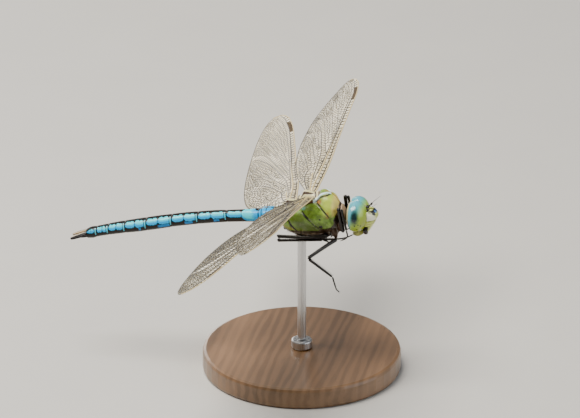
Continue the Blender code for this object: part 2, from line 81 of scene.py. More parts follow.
HEAD_AT = (13.5, 0.0, -0.45)
HEAD_NOD = math.radians(8.0)
EYE_CENTRE_OUT = 1.2
EYE_FRONT, EYE_BACK = 2.75, 3.3
EYE_OUTER, EYE_INNER = 3.7, 2.6
EYE_TOP, EYE_BOTTOM = 3.65, 3.65
EYE_FLAT_BACK = -1.3

FOREWING_EDGE_FRONT = (
    (0, 1.5), (10, 2.4), (22, 2.5), (33, 2.7), (42, 2.6), (46.5, 1.3), (49.2, -0.8), (50, -2.2),
)
FOREWING_EDGE_BACK = (
    (0, -1.4), (3, -3.2), (6, -4.7), (12, -6.6), (20, -8.0), (28, -8.4),
    (36, -8.1), (43, -6.5), (47.5, -4.7), (49.6, -3.3), (50, -2.2),
)
HINDWING_EDGE_FRONT = (
    (0, 1.8), (8, 2.6), (18, 2.5), (30, 2.6), (40, 2.3), (44.8, 1.3), (47.3, -0.4), (48, -2.4),
)
HINDWING_EDGE_BACK = (
    (0, -1.5), (1.2, -5.5), (3.5, -8.7), (7, -10.6), (12, -11.4), (18, -11.3),
    (26, -10.3), (34, -8.7), (41, -6.8), (45.5, -4.9), (47.5, -3.4), (48, -2.4),
)
FOREWING_AT = (3.17, 2.3, 5.64)
HINDWING_AT = (-2.48, 2.3, 3.36)
WING_POSES = {
    "wing_fore_left": ("fore", 1, -2.0, 10.9, (2.6, 14.6, 27.4), 0.046),
    "wing_fore_right": ("fore", -1, -0.4, 14.9, (-0.2, 9.4, 19.7), 0.075),
    "wing_hind_left": ("hind", 1, 13.9, 3.5, (15.6, 18.7, 21.1), -0.005),
    "wing_hind_right": ("hind", -1, 14.6, 2.6, (19.4, 17.9, 18.7), 0.011),
}

FORE_LEG_NEAR = {
    "coxa": ((9.2, 1.1, -1.6), (9.5, 1.7, -3.2)),
    "femur": ((10.05, 2.65, -3.4), (10.0, 2.85, -0.5), (10.15, 3.1, 2.35)),
    "tibia": ((10.9, 3.35, 2.1), (11.05, 3.3, -2.9)),
    "tarsus": ((11.05, 3.3, -3.12), (10.85, 3.1, -4.6), (10.1, 2.85, -5.2), (9.2, 2.7, -5.5)),
}
FORE_LEG_FAR = {
    "coxa": ((9.2, 1.1, -1.6), (9.5, 1.7, -3.2)),
    "femur": ((10.05, 2.65, -3.4), (10.3, 3.0, -0.3), (10.5, 3.15, 2.85)),
    "tibia": ((11.2, 3.45, 2.55), (11.1, 3.3, -2.4)),
    "tarsus": ((11.1, 3.3, -2.62), (10.95, 3.1, -4.1), (10.3, 2.85, -4.8), (9.4, 2.7, -5.2)),
}
MID_LEG_HANGING = {
    "coxa": ((7.4, 1.5, -2.9), (7.8, 1.8, -4.6)),
    "femur": ((8.0, 2.55, -5.2), (5.4, 6.0, -5.6), (2.6, 8.8, -6.4)),
    "tibia": ((2.7, 8.8, -7.12), (6.1, 5.8, -13.0)),
    "tarsus": ((6.2, 5.75, -13.25), (6.5, 6.3, -14.9), (6.9, 7.0, -15.8), (7.5, 7.7, -16.1)),
}
MID_LEG_TUCKED = {
    "coxa": ((7.4, 1.5, -2.9), (7.8, 1.8, -4.6)),
    "femur": ((7.3, 2.1, -5.4), (3.2, 2.2, -5.85), (-0.9, 2.2, -5.5)),
    "tibia": ((-0.9, 2.2, -6.4), (6.4, 1.9, -7.0)),
    "tarsus": ((6.65, 1.9, -7.0), (8.4, 1.8, -6.9), (9.7, 1.7, -6.6), (10.8, 1.6, -6.2)),
}
HIND_LEG = {
    "coxa": ((5.4, 1.7, -2.9), (5.8, 2.15, -4.05)),
    "femur": ((6.4, 3.2, -3.85), (0.6, 3.5, -3.45), (-5.3, 3.5, -2.6)),
    "tibia": ((-5.3, 3.5, -3.65), (5.0, 3.4, -4.7)),
    "tarsus": ((5.25, 3.4, -4.75), (6.1, 3.1, -5.4), (5.9, 2.9, -6.2), (5.2, 2.9, -6.7)),
}
LEGS = {
    "leg_fore_left": (FORE_LEG_FAR, 1),
    "leg_fore_right": (FORE_LEG_NEAR, -1),
    "leg_mid_left": (MID_LEG_TUCKED, 1),
    "leg_mid_right": (MID_LEG_HANGING, -1),
    "leg_hind_left": (HIND_LEG, 1),
    "leg_hind_right": (HIND_LEG, -1),
}


# ---------------------------------------------------------------- curves and frames
def through(stations, values, at):
    """A smooth curve through the values: cubic pieces whose slopes come from the neighbours."""
    x, y = np.asarray(stations, float), np.asarray(values, float)
    if x[0] > x[-1]:
        x, y = x[::-1], y[::-1]
    slope = np.gradient(y, x)
    at = np.clip(at, x[0], x[-1])
    k = np.clip(np.searchsorted(x, at) - 1, 0, len(x) - 2)
    width = x[k + 1] - x[k]
    t = (at - x[k]) / width
    rise = t * t * (3 - 2 * t)
    bend = width * t * (1 - t) * ((1 - t) * slope[k] - t * slope[k + 1])
    return (1 - rise) * y[k] + rise * y[k + 1] + bend


def smooth_path(points, count):
    """Points spread evenly along a smooth curve through the given points, whatever their dimension."""
    knots = np.array(points, float)
    walked = np.concatenate([[0], np.cumsum(np.linalg.norm(np.diff(knots, axis=0), axis=1))])
    at = np.linspace(0, walked[-1], count)
    if len(knots) == 2:
        return knots[0] + (knots[1] - knots[0]) * (at / walked[-1])[:, None]
    return np.stack([through(walked, column, at) for column in knots.T], 1)


def unit(vectors):
    """Each vector at length 1."""
    return vectors / np.maximum(np.linalg.norm(vectors, axis=-1, keepdims=True), 1e-12)


def bump(value, centre, width):
    """A smooth hill of height 1: exp(-((value - centre) / width)^2)."""
    return np.exp(-(((value - centre) / width) ** 2))


def step(value, start, end):
    """0 before start, 1 after end, and 3t^2 - 2t^3 between them."""
    t = np.clip((value - start) / (end - start), 0, 1)
    return t * t * (3 - 2 * t)


def signed_power(value, power):
    """The value's size to a power, with the value's own sign."""
    return np.sign(value) * np.abs(value) ** power


def polyline_distance(points, corners):
    """Each point's distance to a polyline: the least of its distances to the stretches."""
    corners = np.array(corners, float)
    a, b = corners[:-1], corners[1:]
    along = b - a
    rel = points[:, None, :] - a[None]
    t = np.clip((rel * along).sum(-1) / (along**2).sum(-1), 0, 1)
    return np.linalg.norm(rel - t[..., None] * along, axis=-1).min(1)


def body_place():
    """Where the body frame's origin hangs: over the rod, whose top meets the belly."""
    belly = float(through(THORAX_STATIONS, THORAX_BELLY, ROD_AT))
    rod_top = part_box("stand_rod")[1].z / MM + GAP
    across = -(ROD_AT * math.cos(NOSE_UP) - belly * math.sin(NOSE_UP))
    height = rod_top - belly * math.cos(NOSE_UP) - ROD_AT * math.sin(NOSE_UP)
    return np.array([across, 0.0, height])


BODY_AT = body_place()


def pitched(points, angle):
    """Points turned about Y, nose up by the angle: (x cos - z sin, y, x sin + z cos)."""
    x, y, z = np.moveaxis(np.asarray(points, float), -1, 0)
    c, s = math.cos(angle), math.sin(angle)
    return np.stack([c * x - s * z, y, s * x + c * z], -1)


def fly(points):
    """From the body frame to the world, both in millimetres."""
    return pitched(points, NOSE_UP) + BODY_AT


def fly_from_head(points):
    """From the head's own frame, nodded and set on the body, to the world."""
    return fly(pitched(points, -HEAD_NOD) + np.array(HEAD_AT))


def mirrored(points, side):
    """The points as they are on the left, side 1, or mirrored to the right, side -1."""
    return np.asarray(points, float) * np.array([1.0, side, 1.0])


def turned(points, degrees):
    """Points turned about X, then Y, then Z."""
    a, b, c = np.radians(degrees)
    about_x = np.array([[1, 0, 0], [0, math.cos(a), -math.sin(a)], [0, math.sin(a), math.cos(a)]])
    about_y = np.array([[math.cos(b), 0, math.sin(b)], [0, 1, 0], [-math.sin(b), 0, math.cos(b)]])
    about_z = np.array([[math.cos(c), -math.sin(c), 0], [math.sin(c), math.cos(c), 0], [0, 0, 1]])
    return points @ (about_z @ about_y @ about_x).T


# ---------------------------------------------------------------- meshes
def circle(count):
    """Angles spread evenly round a full turn."""
    return np.linspace(0, 2 * np.pi, count, endpoint=False)


def sections(x, y, z):
    """Rings of points from their coordinates, each spread over all rings and all places round them."""
    return np.stack(np.broadcast_arrays(x, y, z), -1)


def circles(across, up, sides, flatten=1.0):
    """A ring for each pair of directions: cos a across + flatten sin a up."""
    turn = circle(sides)[None, :, None]
    return np.cos(turn) * across[:, None] + flatten * np.sin(turn) * up[:, None]


def grid_faces(rows, columns):
    """Quads of a grid whose points are numbered row by row; the last column joins the first."""
    start = np.arange(rows - 1)[:, None] * columns
    here = np.arange(columns)[None, :]
    following = (here + 1) % columns
    corners = [start + here, start + following, start + columns + following, start + columns + here]
    return np.stack(corners, -1).reshape(-1, 4)


def capped(rings):
    """A closed skin over rings of points: quads between rings, and a fan to the middle of each end."""
    rows, columns = rings.shape[:2]
    middles = np.stack([rings[0].mean(0), rings[-1].mean(0)])
    around = np.arange(columns)
    following = (around + 1) % columns
    last = (rows - 1) * columns
    first_fan = np.stack([np.full(columns, rows * columns), following, around], 1)
    last_fan = np.stack([np.full(columns, rows * columns + 1), last + around, last + following], 1)
    points = np.vstack([rings.reshape(-1, 3), middles])
    return points, [grid_faces(rows, columns), np.vstack([first_fan, last_fan])]


def joined(parts):
    """Several shapes as one: their points in a row, and each one's faces moved on by the points before it."""
    points, faces, start = [], [], 0
    for part_points, part_faces in parts:
        points.append(part_points)
        faces += [group + start for group in part_faces]
        start += len(part_points)
    return np.vstack(points), faces


def facing_out(points, faces):
    """The faces, turned round where the shape's signed volume, the sum of a.(b x c) / 6, is negative."""
    fans = [np.stack([f[:, 0], f[:, k], f[:, k + 1]], 1) for f in faces for k in range(1, f.shape[1] - 1)]
    a, b, c = np.moveaxis(points[np.vstack(fans)], 1, 0)
    volume = (a * np.cross(b, c)).sum()
    return [f[:, ::-1] for f in faces] if volume < 0 else faces


def tube(path, radii, sides=10, flatten=1.0, reference=None):
    """A closed tube: rings of centre + radius (cos a n + flatten sin a b), n and b square to the path."""
    path, radii = np.asarray(path, float), np.asarray(radii, float)
    tangent = unit(np.gradient(path, axis=0))
    if reference is None:
        reference = np.eye(3)[np.abs(tangent.mean(0)).argmin()]
    n = unit(np.cross(tangent, reference))
    ring = circles(n, np.cross(tangent, n), sides, flatten)
    return capped(path[:, None] + radii[:, None, None] * ring)


def rounded(share, start, end):
    """1 along the middle of a rod, near 0 at its ends: sqrt(1 - 0.995 (1 - s)^2) within each end."""
    near = np.clip(np.minimum(share / start, (1 - share) / end), 0.0, 1.0)
    return np.sqrt(1 - (1 - near) ** 2 * 0.995)


def cones(roots, tips, radii, sides=4):
    """Thin cones from each root to its tip: a ring of sides round the root, and a fan to each end."""
    along = unit(tips - roots)
    reference = np.where(np.abs(along[:, 2:]) > 0.8, [[1.0, 0.0, 0.0]], [[0.0, 0.0, 1.0]])
    n = unit(np.cross(along, reference))
    ring = roots[:, None] + np.asarray(radii)[:, None, None] * circles(n, np.cross(along, n), sides)
    points = np.concatenate([ring, roots[:, None], tips[:, None]], 1)
    around = np.arange(sides)
    following = (around + 1) % sides
    one = np.vstack([
        np.stack([np.full(sides, sides), following, around], 1),
        np.stack([np.full(sides, sides + 1), around, following], 1),
    ])
    start = np.arange(len(roots)) * (sides + 2)
    return points.reshape(-1, 3), [(start[:, None, None] + one[None]).reshape(-1, 3)]


def make_piece(name, shape, material, replaced=(), fields=None, place=fly, sharp=None):
    """A finished piece: its mesh in metres where it hangs, its material, and what it stands for."""
    points, faces = shape
    points = place(points) if place else points
    faces = facing_out(points, faces)
    sizes = np.concatenate([np.full(len(f), f.shape[1]) for f in faces])
    corners = np.concatenate([f.ravel() for f in faces])
    mesh = bpy.data.meshes.new(name)
    mesh.vertices.add(len(points))
    mesh.vertices.foreach_set("co", (points * MM).astype(np.float32).ravel())
    mesh.loops.add(len(corners))
    mesh.loops.foreach_set("vertex_index", corners.astype(np.int32))
    mesh.polygons.add(len(sizes))
    mesh.polygons.foreach_set("loop_start", (np.cumsum(sizes) - sizes).astype(np.int32))
    mesh.update(calc_edges=True)
    if mesh.validate():
        raise RuntimeError(f"{name}: its mesh has faults")
    mesh.shade_smooth()
    if sharp is not None:
        mesh.set_sharp_from_angle(angle=math.radians(sharp))
    for field, values in (fields or {}).items():
        mark_values = np.ascontiguousarray(values, np.float32)
        mesh.attributes.new(field, "FLOAT", "POINT").data.foreach_set("value", mark_values)
    mesh.materials.append(material)
    piece = bpy.data.objects.new(name, mesh)
    bpy.context.scene.collection.objects.link(piece)
    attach(piece, "root")
    if replaced:
        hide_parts(*replaced)
    return piece


# ---------------------------------------------------------------- materials
def color(name, default, about):
    """A colour setting."""
    return FloatVectorProperty(
        name=name, description=about, default=default, subtype="COLOR", size=3, min=0.0, max=1.0
    )


def length(name, default, about):
    """A length setting, its default in millimetres."""
    return FloatProperty(name=name, description=about, default=default * MM, unit="LENGTH", min=0.0)


class DragonflyBody(bpy.types.PropertyGroup):
    """Colours of the shell."""

    green: color("Thorax green", (0.155, 0.27, 0.025), "Sides of the thorax")
    yellow: color("Front yellow", (0.45, 0.56, 0.06), "Front lobes of the thorax")
    brown: color("Suture brown", (0.34, 0.14, 0.03), "Borders of the front lobes and of the wing roots")
    black: color("Black", (0.012, 0.01, 0.009), "Stripes, rings and the underside")
    blue: color("Sky blue", (0.06, 0.72, 0.86), "Sides of the abdomen")
    deep_blue: color("Deep blue", (0.0, 0.24, 0.62), "Lower patches of the abdomen")
    pale: color("Pale blue", (0.62, 0.82, 0.84), "Ridges before the wings")
    cream: color("Cream", (0.72, 0.66, 0.35), "Plates between the wings")
    leg_black: color("Leg black", (0.012, 0.010, 0.010), "Legs and jaws")
    hair_length: length("Hair length", 0.9, "Length of the thorax hairs")


class DragonflyHead(bpy.types.PropertyGroup):
    """Colours of the head."""

    eye_blue: color("Eye blue", (0.12, 0.52, 0.62), "Upper part of the eyes")
    eye_green: color("Eye green", (0.36, 0.50, 0.03), "Lower part of the eyes")
    face: color("Face", (0.60, 0.66, 0.15), "Frons and lip plates")
    # Partly a painted highlight: the near-white of the frons's sides.
    face_pale_and_highlight: color("Pale face", (0.93, 0.93, 0.72), "Sides of the frons")
    olive: color("Olive", (0.33, 0.33, 0.06), "Lower lip and the back of the head")


class DragonflyWings(bpy.types.PropertyGroup):
    """Wing film and veins."""

    film: color("Film", (0.76, 0.63, 0.35), "Tint of the wing film")
    vein: color("Vein", (0.020, 0.012, 0.006), "Veins")
    edge: color("Front edge", (0.66, 0.52, 0.24), "The pale vein along the front edge")
    spot: color("Wing spot", (0.085, 0.060, 0.036), "The thick cell near the tip")
    film_thickness: length("Film thickness", 0.03, "Thickness of the film")
    vein_radius: length("Net vein radius", 0.09, "Radius of the small veins")
    cell: length("Cell width", 1.0, "Distance between neighbouring cells in the middle of the wing")
    seed: IntProperty(name="Net seed", description="Seed of the net of cells", default=7)


class DragonflyStage(bpy.types.PropertyGroup):
    """Floor, light and camera."""

    floor: color("Floor", (0.60, 0.58, 0.55), "Floor under the stand")
    wood: color("Base wood", (0.20, 0.11, 0.055), "Stand base")
    key: FloatProperty(name="Key light", description="Power of the main light", default=12.5, unit="POWER")
    azimuth: FloatProperty(
        name="Camera azimuth",
        description="Camera's direction round the object",
        default=math.radians(12.2),
        subtype="ANGLE",
    )
    elevation: FloatProperty(
        name="Camera elevation",
        description="Camera's height above the horizon",
        default=math.radians(24.55),
        subtype="ANGLE",
    )


def settings():
    """The settings of the body, the head and the wings."""
    scene = bpy.context.scene
    return scene.dragonfly_body, scene.dragonfly_head, scene.dragonfly_wings


def rgba(colour, brightness=1.0):
    """An opaque colour, made darker or lighter by the brightness."""
    return (*(c * brightness for c in colour), 1.0)


def new_material(name, **constants):
    """A material with a Principled shader whose named sockets hold these constants."""
    material = bpy.data.materials.new(name)
    material.use_nodes = True
    shader = material.node_tree.nodes["Principled BSDF"]
    for socket, value in constants.items():
        shader.inputs[socket.replace("_", " ")].default_value = value
    return material, material.node_tree, shader


def node(tree, kind, inputs=(), **values):
    """A shader node with these settings; an input is a constant or another node's output."""
    made = tree.nodes.new("ShaderNode" + kind)
    for key, value in values.items():
        setattr(made, key, value)
    for socket, value in dict(inputs).items():
        if isinstance(value, bpy.types.NodeSocket):
            tree.links.new(value, made.inputs[socket])
        else:
            made.inputs[socket].default_value = value
    return made


def math_node(tree, operation, first, second=0.0, third=0.0):
    """The result of an operation on up to three values."""
    return node(tree, "Math", {0: first, 1: second, 2: third}, operation=operation).outputs[0]


def mixed(tree, factor, below, above):
    """A colour between two, from the one below at 0 to the one above at 1."""
    return node(tree, "Mix", {0: factor, 6: below, 7: above}, data_type="RGBA").outputs[2]


def read_field(tree, name):
    """A value kept at the piece's points."""
    return node(tree, "Attribute", attribute_name=name).outputs["Fac"]


def object_place(tree):
    """The piece's own coordinates."""
    return node(tree, "TexCoord").outputs["Object"]


def noise(tree, per_mm, detail=3.0, stretch=None):
    """Noise in the piece's own coordinates, with this many features to a millimetre."""
    vector = object_place(tree)
    if stretch:
        vector = node(tree, "Mapping", {"Vector": vector, "Scale": stretch}).outputs[0]
    inputs = {"Vector": vector, "Scale": per_mm / MM, "Detail": detail, "Roughness": 0.55}
    return node(tree, "TexNoise", inputs).outputs["Fac"]


def ramp(tree, value, low, high, start=0.0, end=1.0):
    """A smooth rise from start, where the value is low, to end, where it is high."""
    inputs = {"Value": value, "From Min": low, "From Max": high, "To Min": start, "To Max": end}
    return node(tree, "MapRange", inputs, interpolation_type="SMOOTHSTEP").outputs[0]


def mark(tree, field, edge=0.05, wobble=0.12):
    """1 inside a mark and 0 outside it: its field is a distance in millimetres, made uneven by noise."""
    uneven = math_node(tree, "MULTIPLY_ADD", noise(tree, 2.5), wobble, -wobble / 2)
    total = math_node(tree, "ADD", read_field(tree, field), uneven)
    return ramp(tree, total, -edge, edge)


def roughened(tree, shader, height, strength, distance):
    """Feeds the shader a normal raised by the height, over a distance in millimetres."""
    made = node(tree, "Bump", {"Height": height, "Strength": strength, "Distance": distance * MM})
    tree.links.new(made.outputs[0], shader.inputs["Normal"])


def painted(name, base, layers, roughness, grain=0.15, per_mm=1.4, pit=6.0, pit_depth=0.02, **constants):
    """A shell finish: a base colour mottled by noise, marks laid over it in order, and fine pits."""
    material, tree, shader = new_material(name, Roughness=roughness, **constants)
    light = tuple(min(1.0, c * (1 + grain)) for c in base)
    dark = tuple(c * (1 - grain) for c in base)
    paint = mixed(tree, ramp(tree, noise(tree, per_mm), 0.3, 0.7), rgba(dark), rgba(light))
    for field, above, edge, wobble in layers:
        paint = mixed(tree, mark(tree, field, edge, wobble), paint, rgba(above))
    tree.links.new(paint, shader.inputs["Base Color"])
    roughened(tree, shader, noise(tree, pit, 4.0), 0.35, pit_depth)
    return material


# ---------------------------------------------------------------- thorax
def thorax_surface(along, turn, grow=0.0):
    """The thorax's own section: an oval with a squarish belly that narrows towards the back.

    y = half sgn(c) |c|^0.85 (1 - narrowing max(s, 0)^1.3), z = middle + half height s,
    with c and s the cosine and sine of the turn.
    """
    back = through(THORAX_STATIONS, THORAX_BACK, along) + grow
    belly = through(THORAX_STATIONS, THORAX_BELLY, along) - grow
    half = through(THORAX_STATIONS, THORAX_HALF_WIDTH, along) + grow
    narrowing = through(THORAX_STATIONS, THORAX_NARROWING, along)
    c, s = np.cos(turn), np.sin(turn)
    y = half * signed_power(c, 0.85) * (1 - narrowing * np.maximum(s, 0) ** 1.3)
    return sections(along, y, (back + belly) / 2 + (back - belly) / 2 * s)


# Lines on the thorax's side as (x, z), and over its front as (x, distance from the middle, z).
HUMERAL_SUTURE = ((5.34, 4.2), (6.15, 3.4), (7.05, 2.0), (7.5, 1.2), (7.75, 0.2), (7.95, -1.2))
MIDDLE_SUTURE = ((1.6, 2.75), (1.95, 2.3), (2.84, 1.24), (4.0, -0.6), (4.9, -1.9))
REAR_SUTURE = ((-2.3, 1.7), (-1.84, 0.47), (-1.3, -0.8), (-0.6, -1.9))
# Each suture with the depth and the width of its groove.
GROOVES = ((HUMERAL_SUTURE, 0.22, 0.22), (MIDDLE_SUTURE, 0.16, 0.2), (REAR_SUTURE, 0.16, 0.22))
# Middle of a band of painted shade across the lower flank, as (x, z).
SHADE_LINE = ((0.2, 1.2), (1.6, -0.9), (4.6, -1.6))
GLOW_LINE = ((7.5, 1.9), (7.38, 0.9))
WING_LINE = (
    (-4.3, 1.3), (-2.0, 2.1), (0.4, 3.0), (1.06, 3.3), (2.35, 4.0), (3.87, 4.4), (5.3, 4.6), (6.3, 5.4),
)
UNDERSIDE_LINE = (
    (-4.3, -0.7), (-2.5, -1.5), (0.0, -1.75), (3.0, -2.0), (4.6, -2.2), (5.4, -1.5),
    (6.2, -2.0), (7.3, -1.9), (8.0, -1.5), (8.6, -0.5), (9.0, 0.8), (9.8, 2.0),
)
LOBE_LINE = ((6.1, 3.1, 3.5), (6.15, 2.85, 4.1), (6.4, 2.23, 4.94), (7.39, 1.46, 5.4), (8.59, 0.12, 4.96))
RIDGE_LINE = ((4.6, 2.3), (5.9, 1.75), (7.2, 1.2), (8.2, 0.35))  # from above, as (x, y)
# Dark lines of the plates between the wings, from above, as (x, distance from the middle).
PLATE_LINES = (
    ((1.7, 2.3), (3.1, 1.95), (4.6, 2.35)),
    ((-3.9, 1.4), (-2.5, 1.85), (-0.9, 2.2)),
    ((0.45, 0.0), (0.6, 1.1), (0.2, 2.0)),
    ((4.7, 0.0), (4.9, 1.3), (4.5, 1.9)),
    ((-3.5, 0.0), (-3.3, 1.1)),
    ((1.3, 0.5), (2.9, 0.75), (4.2, 0.5)),
    ((-2.9, 0.5), (-1.6, 0.75), (-0.5, 0.45)),
)


def along_line(line, x):
    """A line's height at x."""
    return np.interp(x, *np.array(line).T)


def thorax_fields(points):
    """Distances to the thorax's marks, in millimetres, positive inside each."""
    x, y, z = points.T
    out = np.abs(y)
    side, above = np.stack([x, z], 1), np.stack([x, out], 1)
    wing_line, under_line = along_line(WING_LINE, x), along_line(UNDERSIDE_LINE, x)
    saddle = np.minimum(z - wing_line, 5.9 - x)
    humeral = 0.17 - 0.05 * np.clip(2.0 - z, 0, 3) - polyline_distance(side, HUMERAL_SUTURE)
    middle = 0.10 + 0.20 * bump(z, 1.8, 0.8) - polyline_distance(side, MIDDLE_SUTURE)
    rear = 0.34 - 0.12 * np.abs(z + 0.4) - polyline_distance(side, REAR_SUTURE)
    upper_dot = 0.24 - np.hypot(x - 5.6, z - 0.75)
    lower_dot = 0.34 - np.hypot((x - 5.4) * 0.7, z + 1.15)
    front_dot = 0.5 - np.hypot(x - 8.87, (z + 0.35) * 0.8)
    border = 0.15 - np.abs(z - wing_line - 0.02)
    suture = np.maximum.reduce([humeral, middle, rear, upper_dot, lower_dot, front_dot, border])
    plates = np.max([0.2 - polyline_distance(above, line) for line in PLATE_LINES], axis=0)
    lobe = np.hypot((x - 7.7) / 1.75, (z - 3.6) / 2.1)
    lobe_border = 0.13 - polyline_distance(np.stack([x, out, z], 1), LOBE_LINE)
    keel = np.where((x > 7.0) & (z > 1.2), 0.14 - out, -1.0)
    glow = 0.55 - np.hypot(x - 5.75, (z - 4.5) * 1.3)
    return {
        "lobe": np.minimum((1.1 - lobe) * 1.8, x - 6.6),
        "front": np.minimum(x - 8.7 - 0.25 * np.clip(z - 3.5, -1, 1), z - 0.9),
        # Painted shade: a broad band round SHADE_LINE.
        "shade": 1.1 - polyline_distance(side, SHADE_LINE) * 0.9,
        "glow": np.maximum(glow, 0.22 - polyline_distance(side, GLOW_LINE)),
        "teal": np.where(out > 1.0, 0.34 - np.hypot((x - 1.9) * 0.6, z - 3.45), -1.0),
        "crescent": np.minimum(0.36 - np.abs(z - under_line - 0.5), np.minimum(x + 3.9, -0.9 - x)),
        "suture": np.where((z > wing_line + 0.3) | (out < 0.5), -1.0, suture),
        "under": under_line - z,
        "top": np.minimum(saddle - 0.45, 1.0),
        "hinge": np.minimum(saddle, 0.75 - saddle),
        "plate": np.where(saddle > 0.4, plates, -1.0),
        "rim": np.maximum(lobe_border, keel),
        "ridge": np.where(z > 3.6, 0.25 - polyline_distance(above, RIDGE_LINE), -1.0),
    }


def thorax_relief(points):
    """How far the skin is raised, or lowered where it is negative, at places of the thorax's surface.

    A groove lowers it by depth exp(-(distance / width)^2), and a plate raises it by a smooth hill.
    """
    x, y, z = points.T
    out = np.abs(y)
    side, above = np.stack([x, z], 1), np.stack([x, out], 1)
    wing_line = along_line(WING_LINE, x)
    grooves = np.zeros(len(points))
    for line, depth, width in GROOVES:
        grooves -= depth * bump(polyline_distance(side, line), 0, width) * step(z, -3.6, -2.6)
    grooves -= 0.20 * bump(z, wing_line, 0.22) * (x < 6.2)
    saddle = step(z, wing_line + 0.1, wing_line + 1.2) * step(6.6 - x, 0, 1.0)
    plates = 1.25 * np.maximum(bump(x, 2.5, 1.15), bump(x, -1.9, 1.0)) * bump(out, 0.0, 1.25)
    plates += 0.85 * np.maximum(bump(x, 0.5, 0.5), bump(x, -3.6, 0.35)) * bump(out, 0.9, 0.7)
    relief = saddle * (plates - 0.42)
    relief += 0.16 * step(1 - np.hypot((x - 7.6) / 2.1, (z - 3.0) / 2.6), 0, 0.5)
    relief += 0.20 * bump(polyline_distance(above, RIDGE_LINE), 0, 0.30) * (z > 3.6)
    for line in PLATE_LINES:
        relief -= 0.12 * bump(polyline_distance(above, line), 0, 0.16) * saddle
    relief += 0.18 * bump(y, 0, 0.14) * step(x, 5.6, 6.6) * (z > 1.0)
    relief += 0.07 * np.sin(2.3 * x + 1.7 * z) * np.sin(1.9 * z - 0.8 * x) * step(out, 1.2, 2.2)
    return grooves + relief


def thorax_material():
    """Green shell with yellow front lobes, dark sutures, and brown and cream plates between the wings."""
    body, _, _ = settings()
    marks = (
        # Painted shade: the green at 0.45 of its brightness in a broad band across the lower flank.
        ("shade", tuple(c * 0.45 for c in body.green), 0.8, 0.7),
        ("lobe", body.yellow, 1.0, 0.7),
        ("front", (0.76, 0.62, 0.15), 0.5, 0.3),
        ("glow", (0.32, 0.13, 0.02), 0.45, 0.3),
        ("teal", (0.16, 0.42, 0.30), 0.15, 0.2),
        ("crescent", (0.30, 0.30, 0.02), 0.12, 0.25),
        ("suture", body.black, 0.05, 0.12),
        ("under", (0.035, 0.022, 0.014), 0.15, 0.4),
        ("hinge", (0.10, 0.045, 0.022), 0.15, 0.3),
        ("top", body.cream, 0.12, 0.3),
        ("plate", (0.05, 0.025, 0.012), 0.06, 0.15),
        ("ridge", body.pale, 0.10, 0.25),
        ("rim", body.brown, 0.08, 0.12),
    )
    return painted(
        "thorax_shell", body.green, marks, 0.42, grain=0.42, per_mm=0.9, Coat_Weight=0.25, Coat_Roughness=0.25
    )


def build_thorax_piece():
    """The thorax: its section carried along X, then moved out and in along its own normals."""
    rows, columns = 200, 260
    share = (1 - np.cos(np.linspace(0, np.pi, rows))) / 2
    along = THORAX_STATIONS[0] + (THORAX_STATIONS[-1] - THORAX_STATIONS[0]) * share
    rings = thorax_surface(along[:, None], circle(columns)[None])
    across = unit(np.roll(rings, -1, 1) - np.roll(rings, 1, 1))
    onward = unit(np.gradient(rings, axis=0))
    normal = np.cross(onward, across)
    normal = normal * np.sign((normal * (rings - rings.mean(1, keepdims=True))).sum(-1, keepdims=True))
    relief = thorax_relief(rings.reshape(-1, 3)).reshape(rows, columns)
    relief *= step(np.minimum(share, 1 - share), 0.0, 0.03)[:, None]
    shape = capped(rings + normal * relief[..., None])
    make_piece("thorax_shell", shape, thorax_material(), ["thorax"], thorax_fields(shape[0]))


# ---------------------------------------------------------------- neck
def build_neck_piece():
    """The prothorax: a waisted collar of ovals, with a raised lobe across its back and a side plate."""
    body, _, _ = settings()
    marks = (("plate", (0.62, 0.44, 0.28), 0.3, 0.4), ("dark", body.black, 0.12, 0.3))
    material = painted("neck_shell", (0.50, 0.34, 0.20), marks, 0.5, grain=0.25, Coat_Weight=0.15)
    share, turn = np.linspace(0, 1, 60)[:, None], circle(96)
    half = through((0, 0.35, 0.75, 1), (1.5, 1.95, 1.75, 1.0), share)
    tall = through((0, 0.35, 0.75, 1), (1.7, 2.3, 2.1, 1.2), share)
    centre = through((0, 0.4, 0.8, 1), (0.6, 0.4, 0.1, 0.0), share)
    lobe = 0.16 * bump(share, 0.42, 0.10) - 0.14 * bump(share, 0.62, 0.07) + 0.1 * bump(share, 0.8, 0.1)
    swell = 1 + lobe * (0.55 + 0.45 * np.sin(turn))
    rings = sections(8.75 + 2.15 * share, half * swell * np.cos(turn), centre + tall * swell * np.sin(turn))
    shape = capped(rings)
    x, _, z = shape[0].T
    fields = {
        "plate": 0.9 - np.hypot(x - 10.1, (z - 0.6) * 0.75),
        "dark": np.maximum(0.16 - np.abs(x - 10.02), -1.2 - z),
    }
    make_piece("neck_collar", shape, material, ["prothorax"], fields)


# ---------------------------------------------------------------- abdomen
def abdomen_section(along, turn, swell):
    """A section of the abdomen: an oval whose underside is a little flatter.

    y = half sgn(c) |c|^0.9, z = middle + tall s, where s is 0.9 of the turn's sine below the middle.
    """
    half = through(ABDOMEN_STATIONS, ABDOMEN_HALF_WIDTH, along) * swell
    tall = through(ABDOMEN_STATIONS, ABDOMEN_HALF_HEIGHT, along) * swell
    centre = through(ABDOMEN_STATIONS, ABDOMEN_CENTRE_HEIGHT, along)
    c, s = np.cos(turn), np.sin(turn)
    return sections(along, half * signed_power(c, 0.9), centre + tall * np.where(s < 0, 0.9 * s, s))


# Low dark blue patches: the segment's number, and the patch's middle and half length as shares of it.
PATCHES = {4: (0.37, 0.095), 5: (0.37, 0.15), 6: (0.33, 0.23), 7: (0.34, 0.05)}


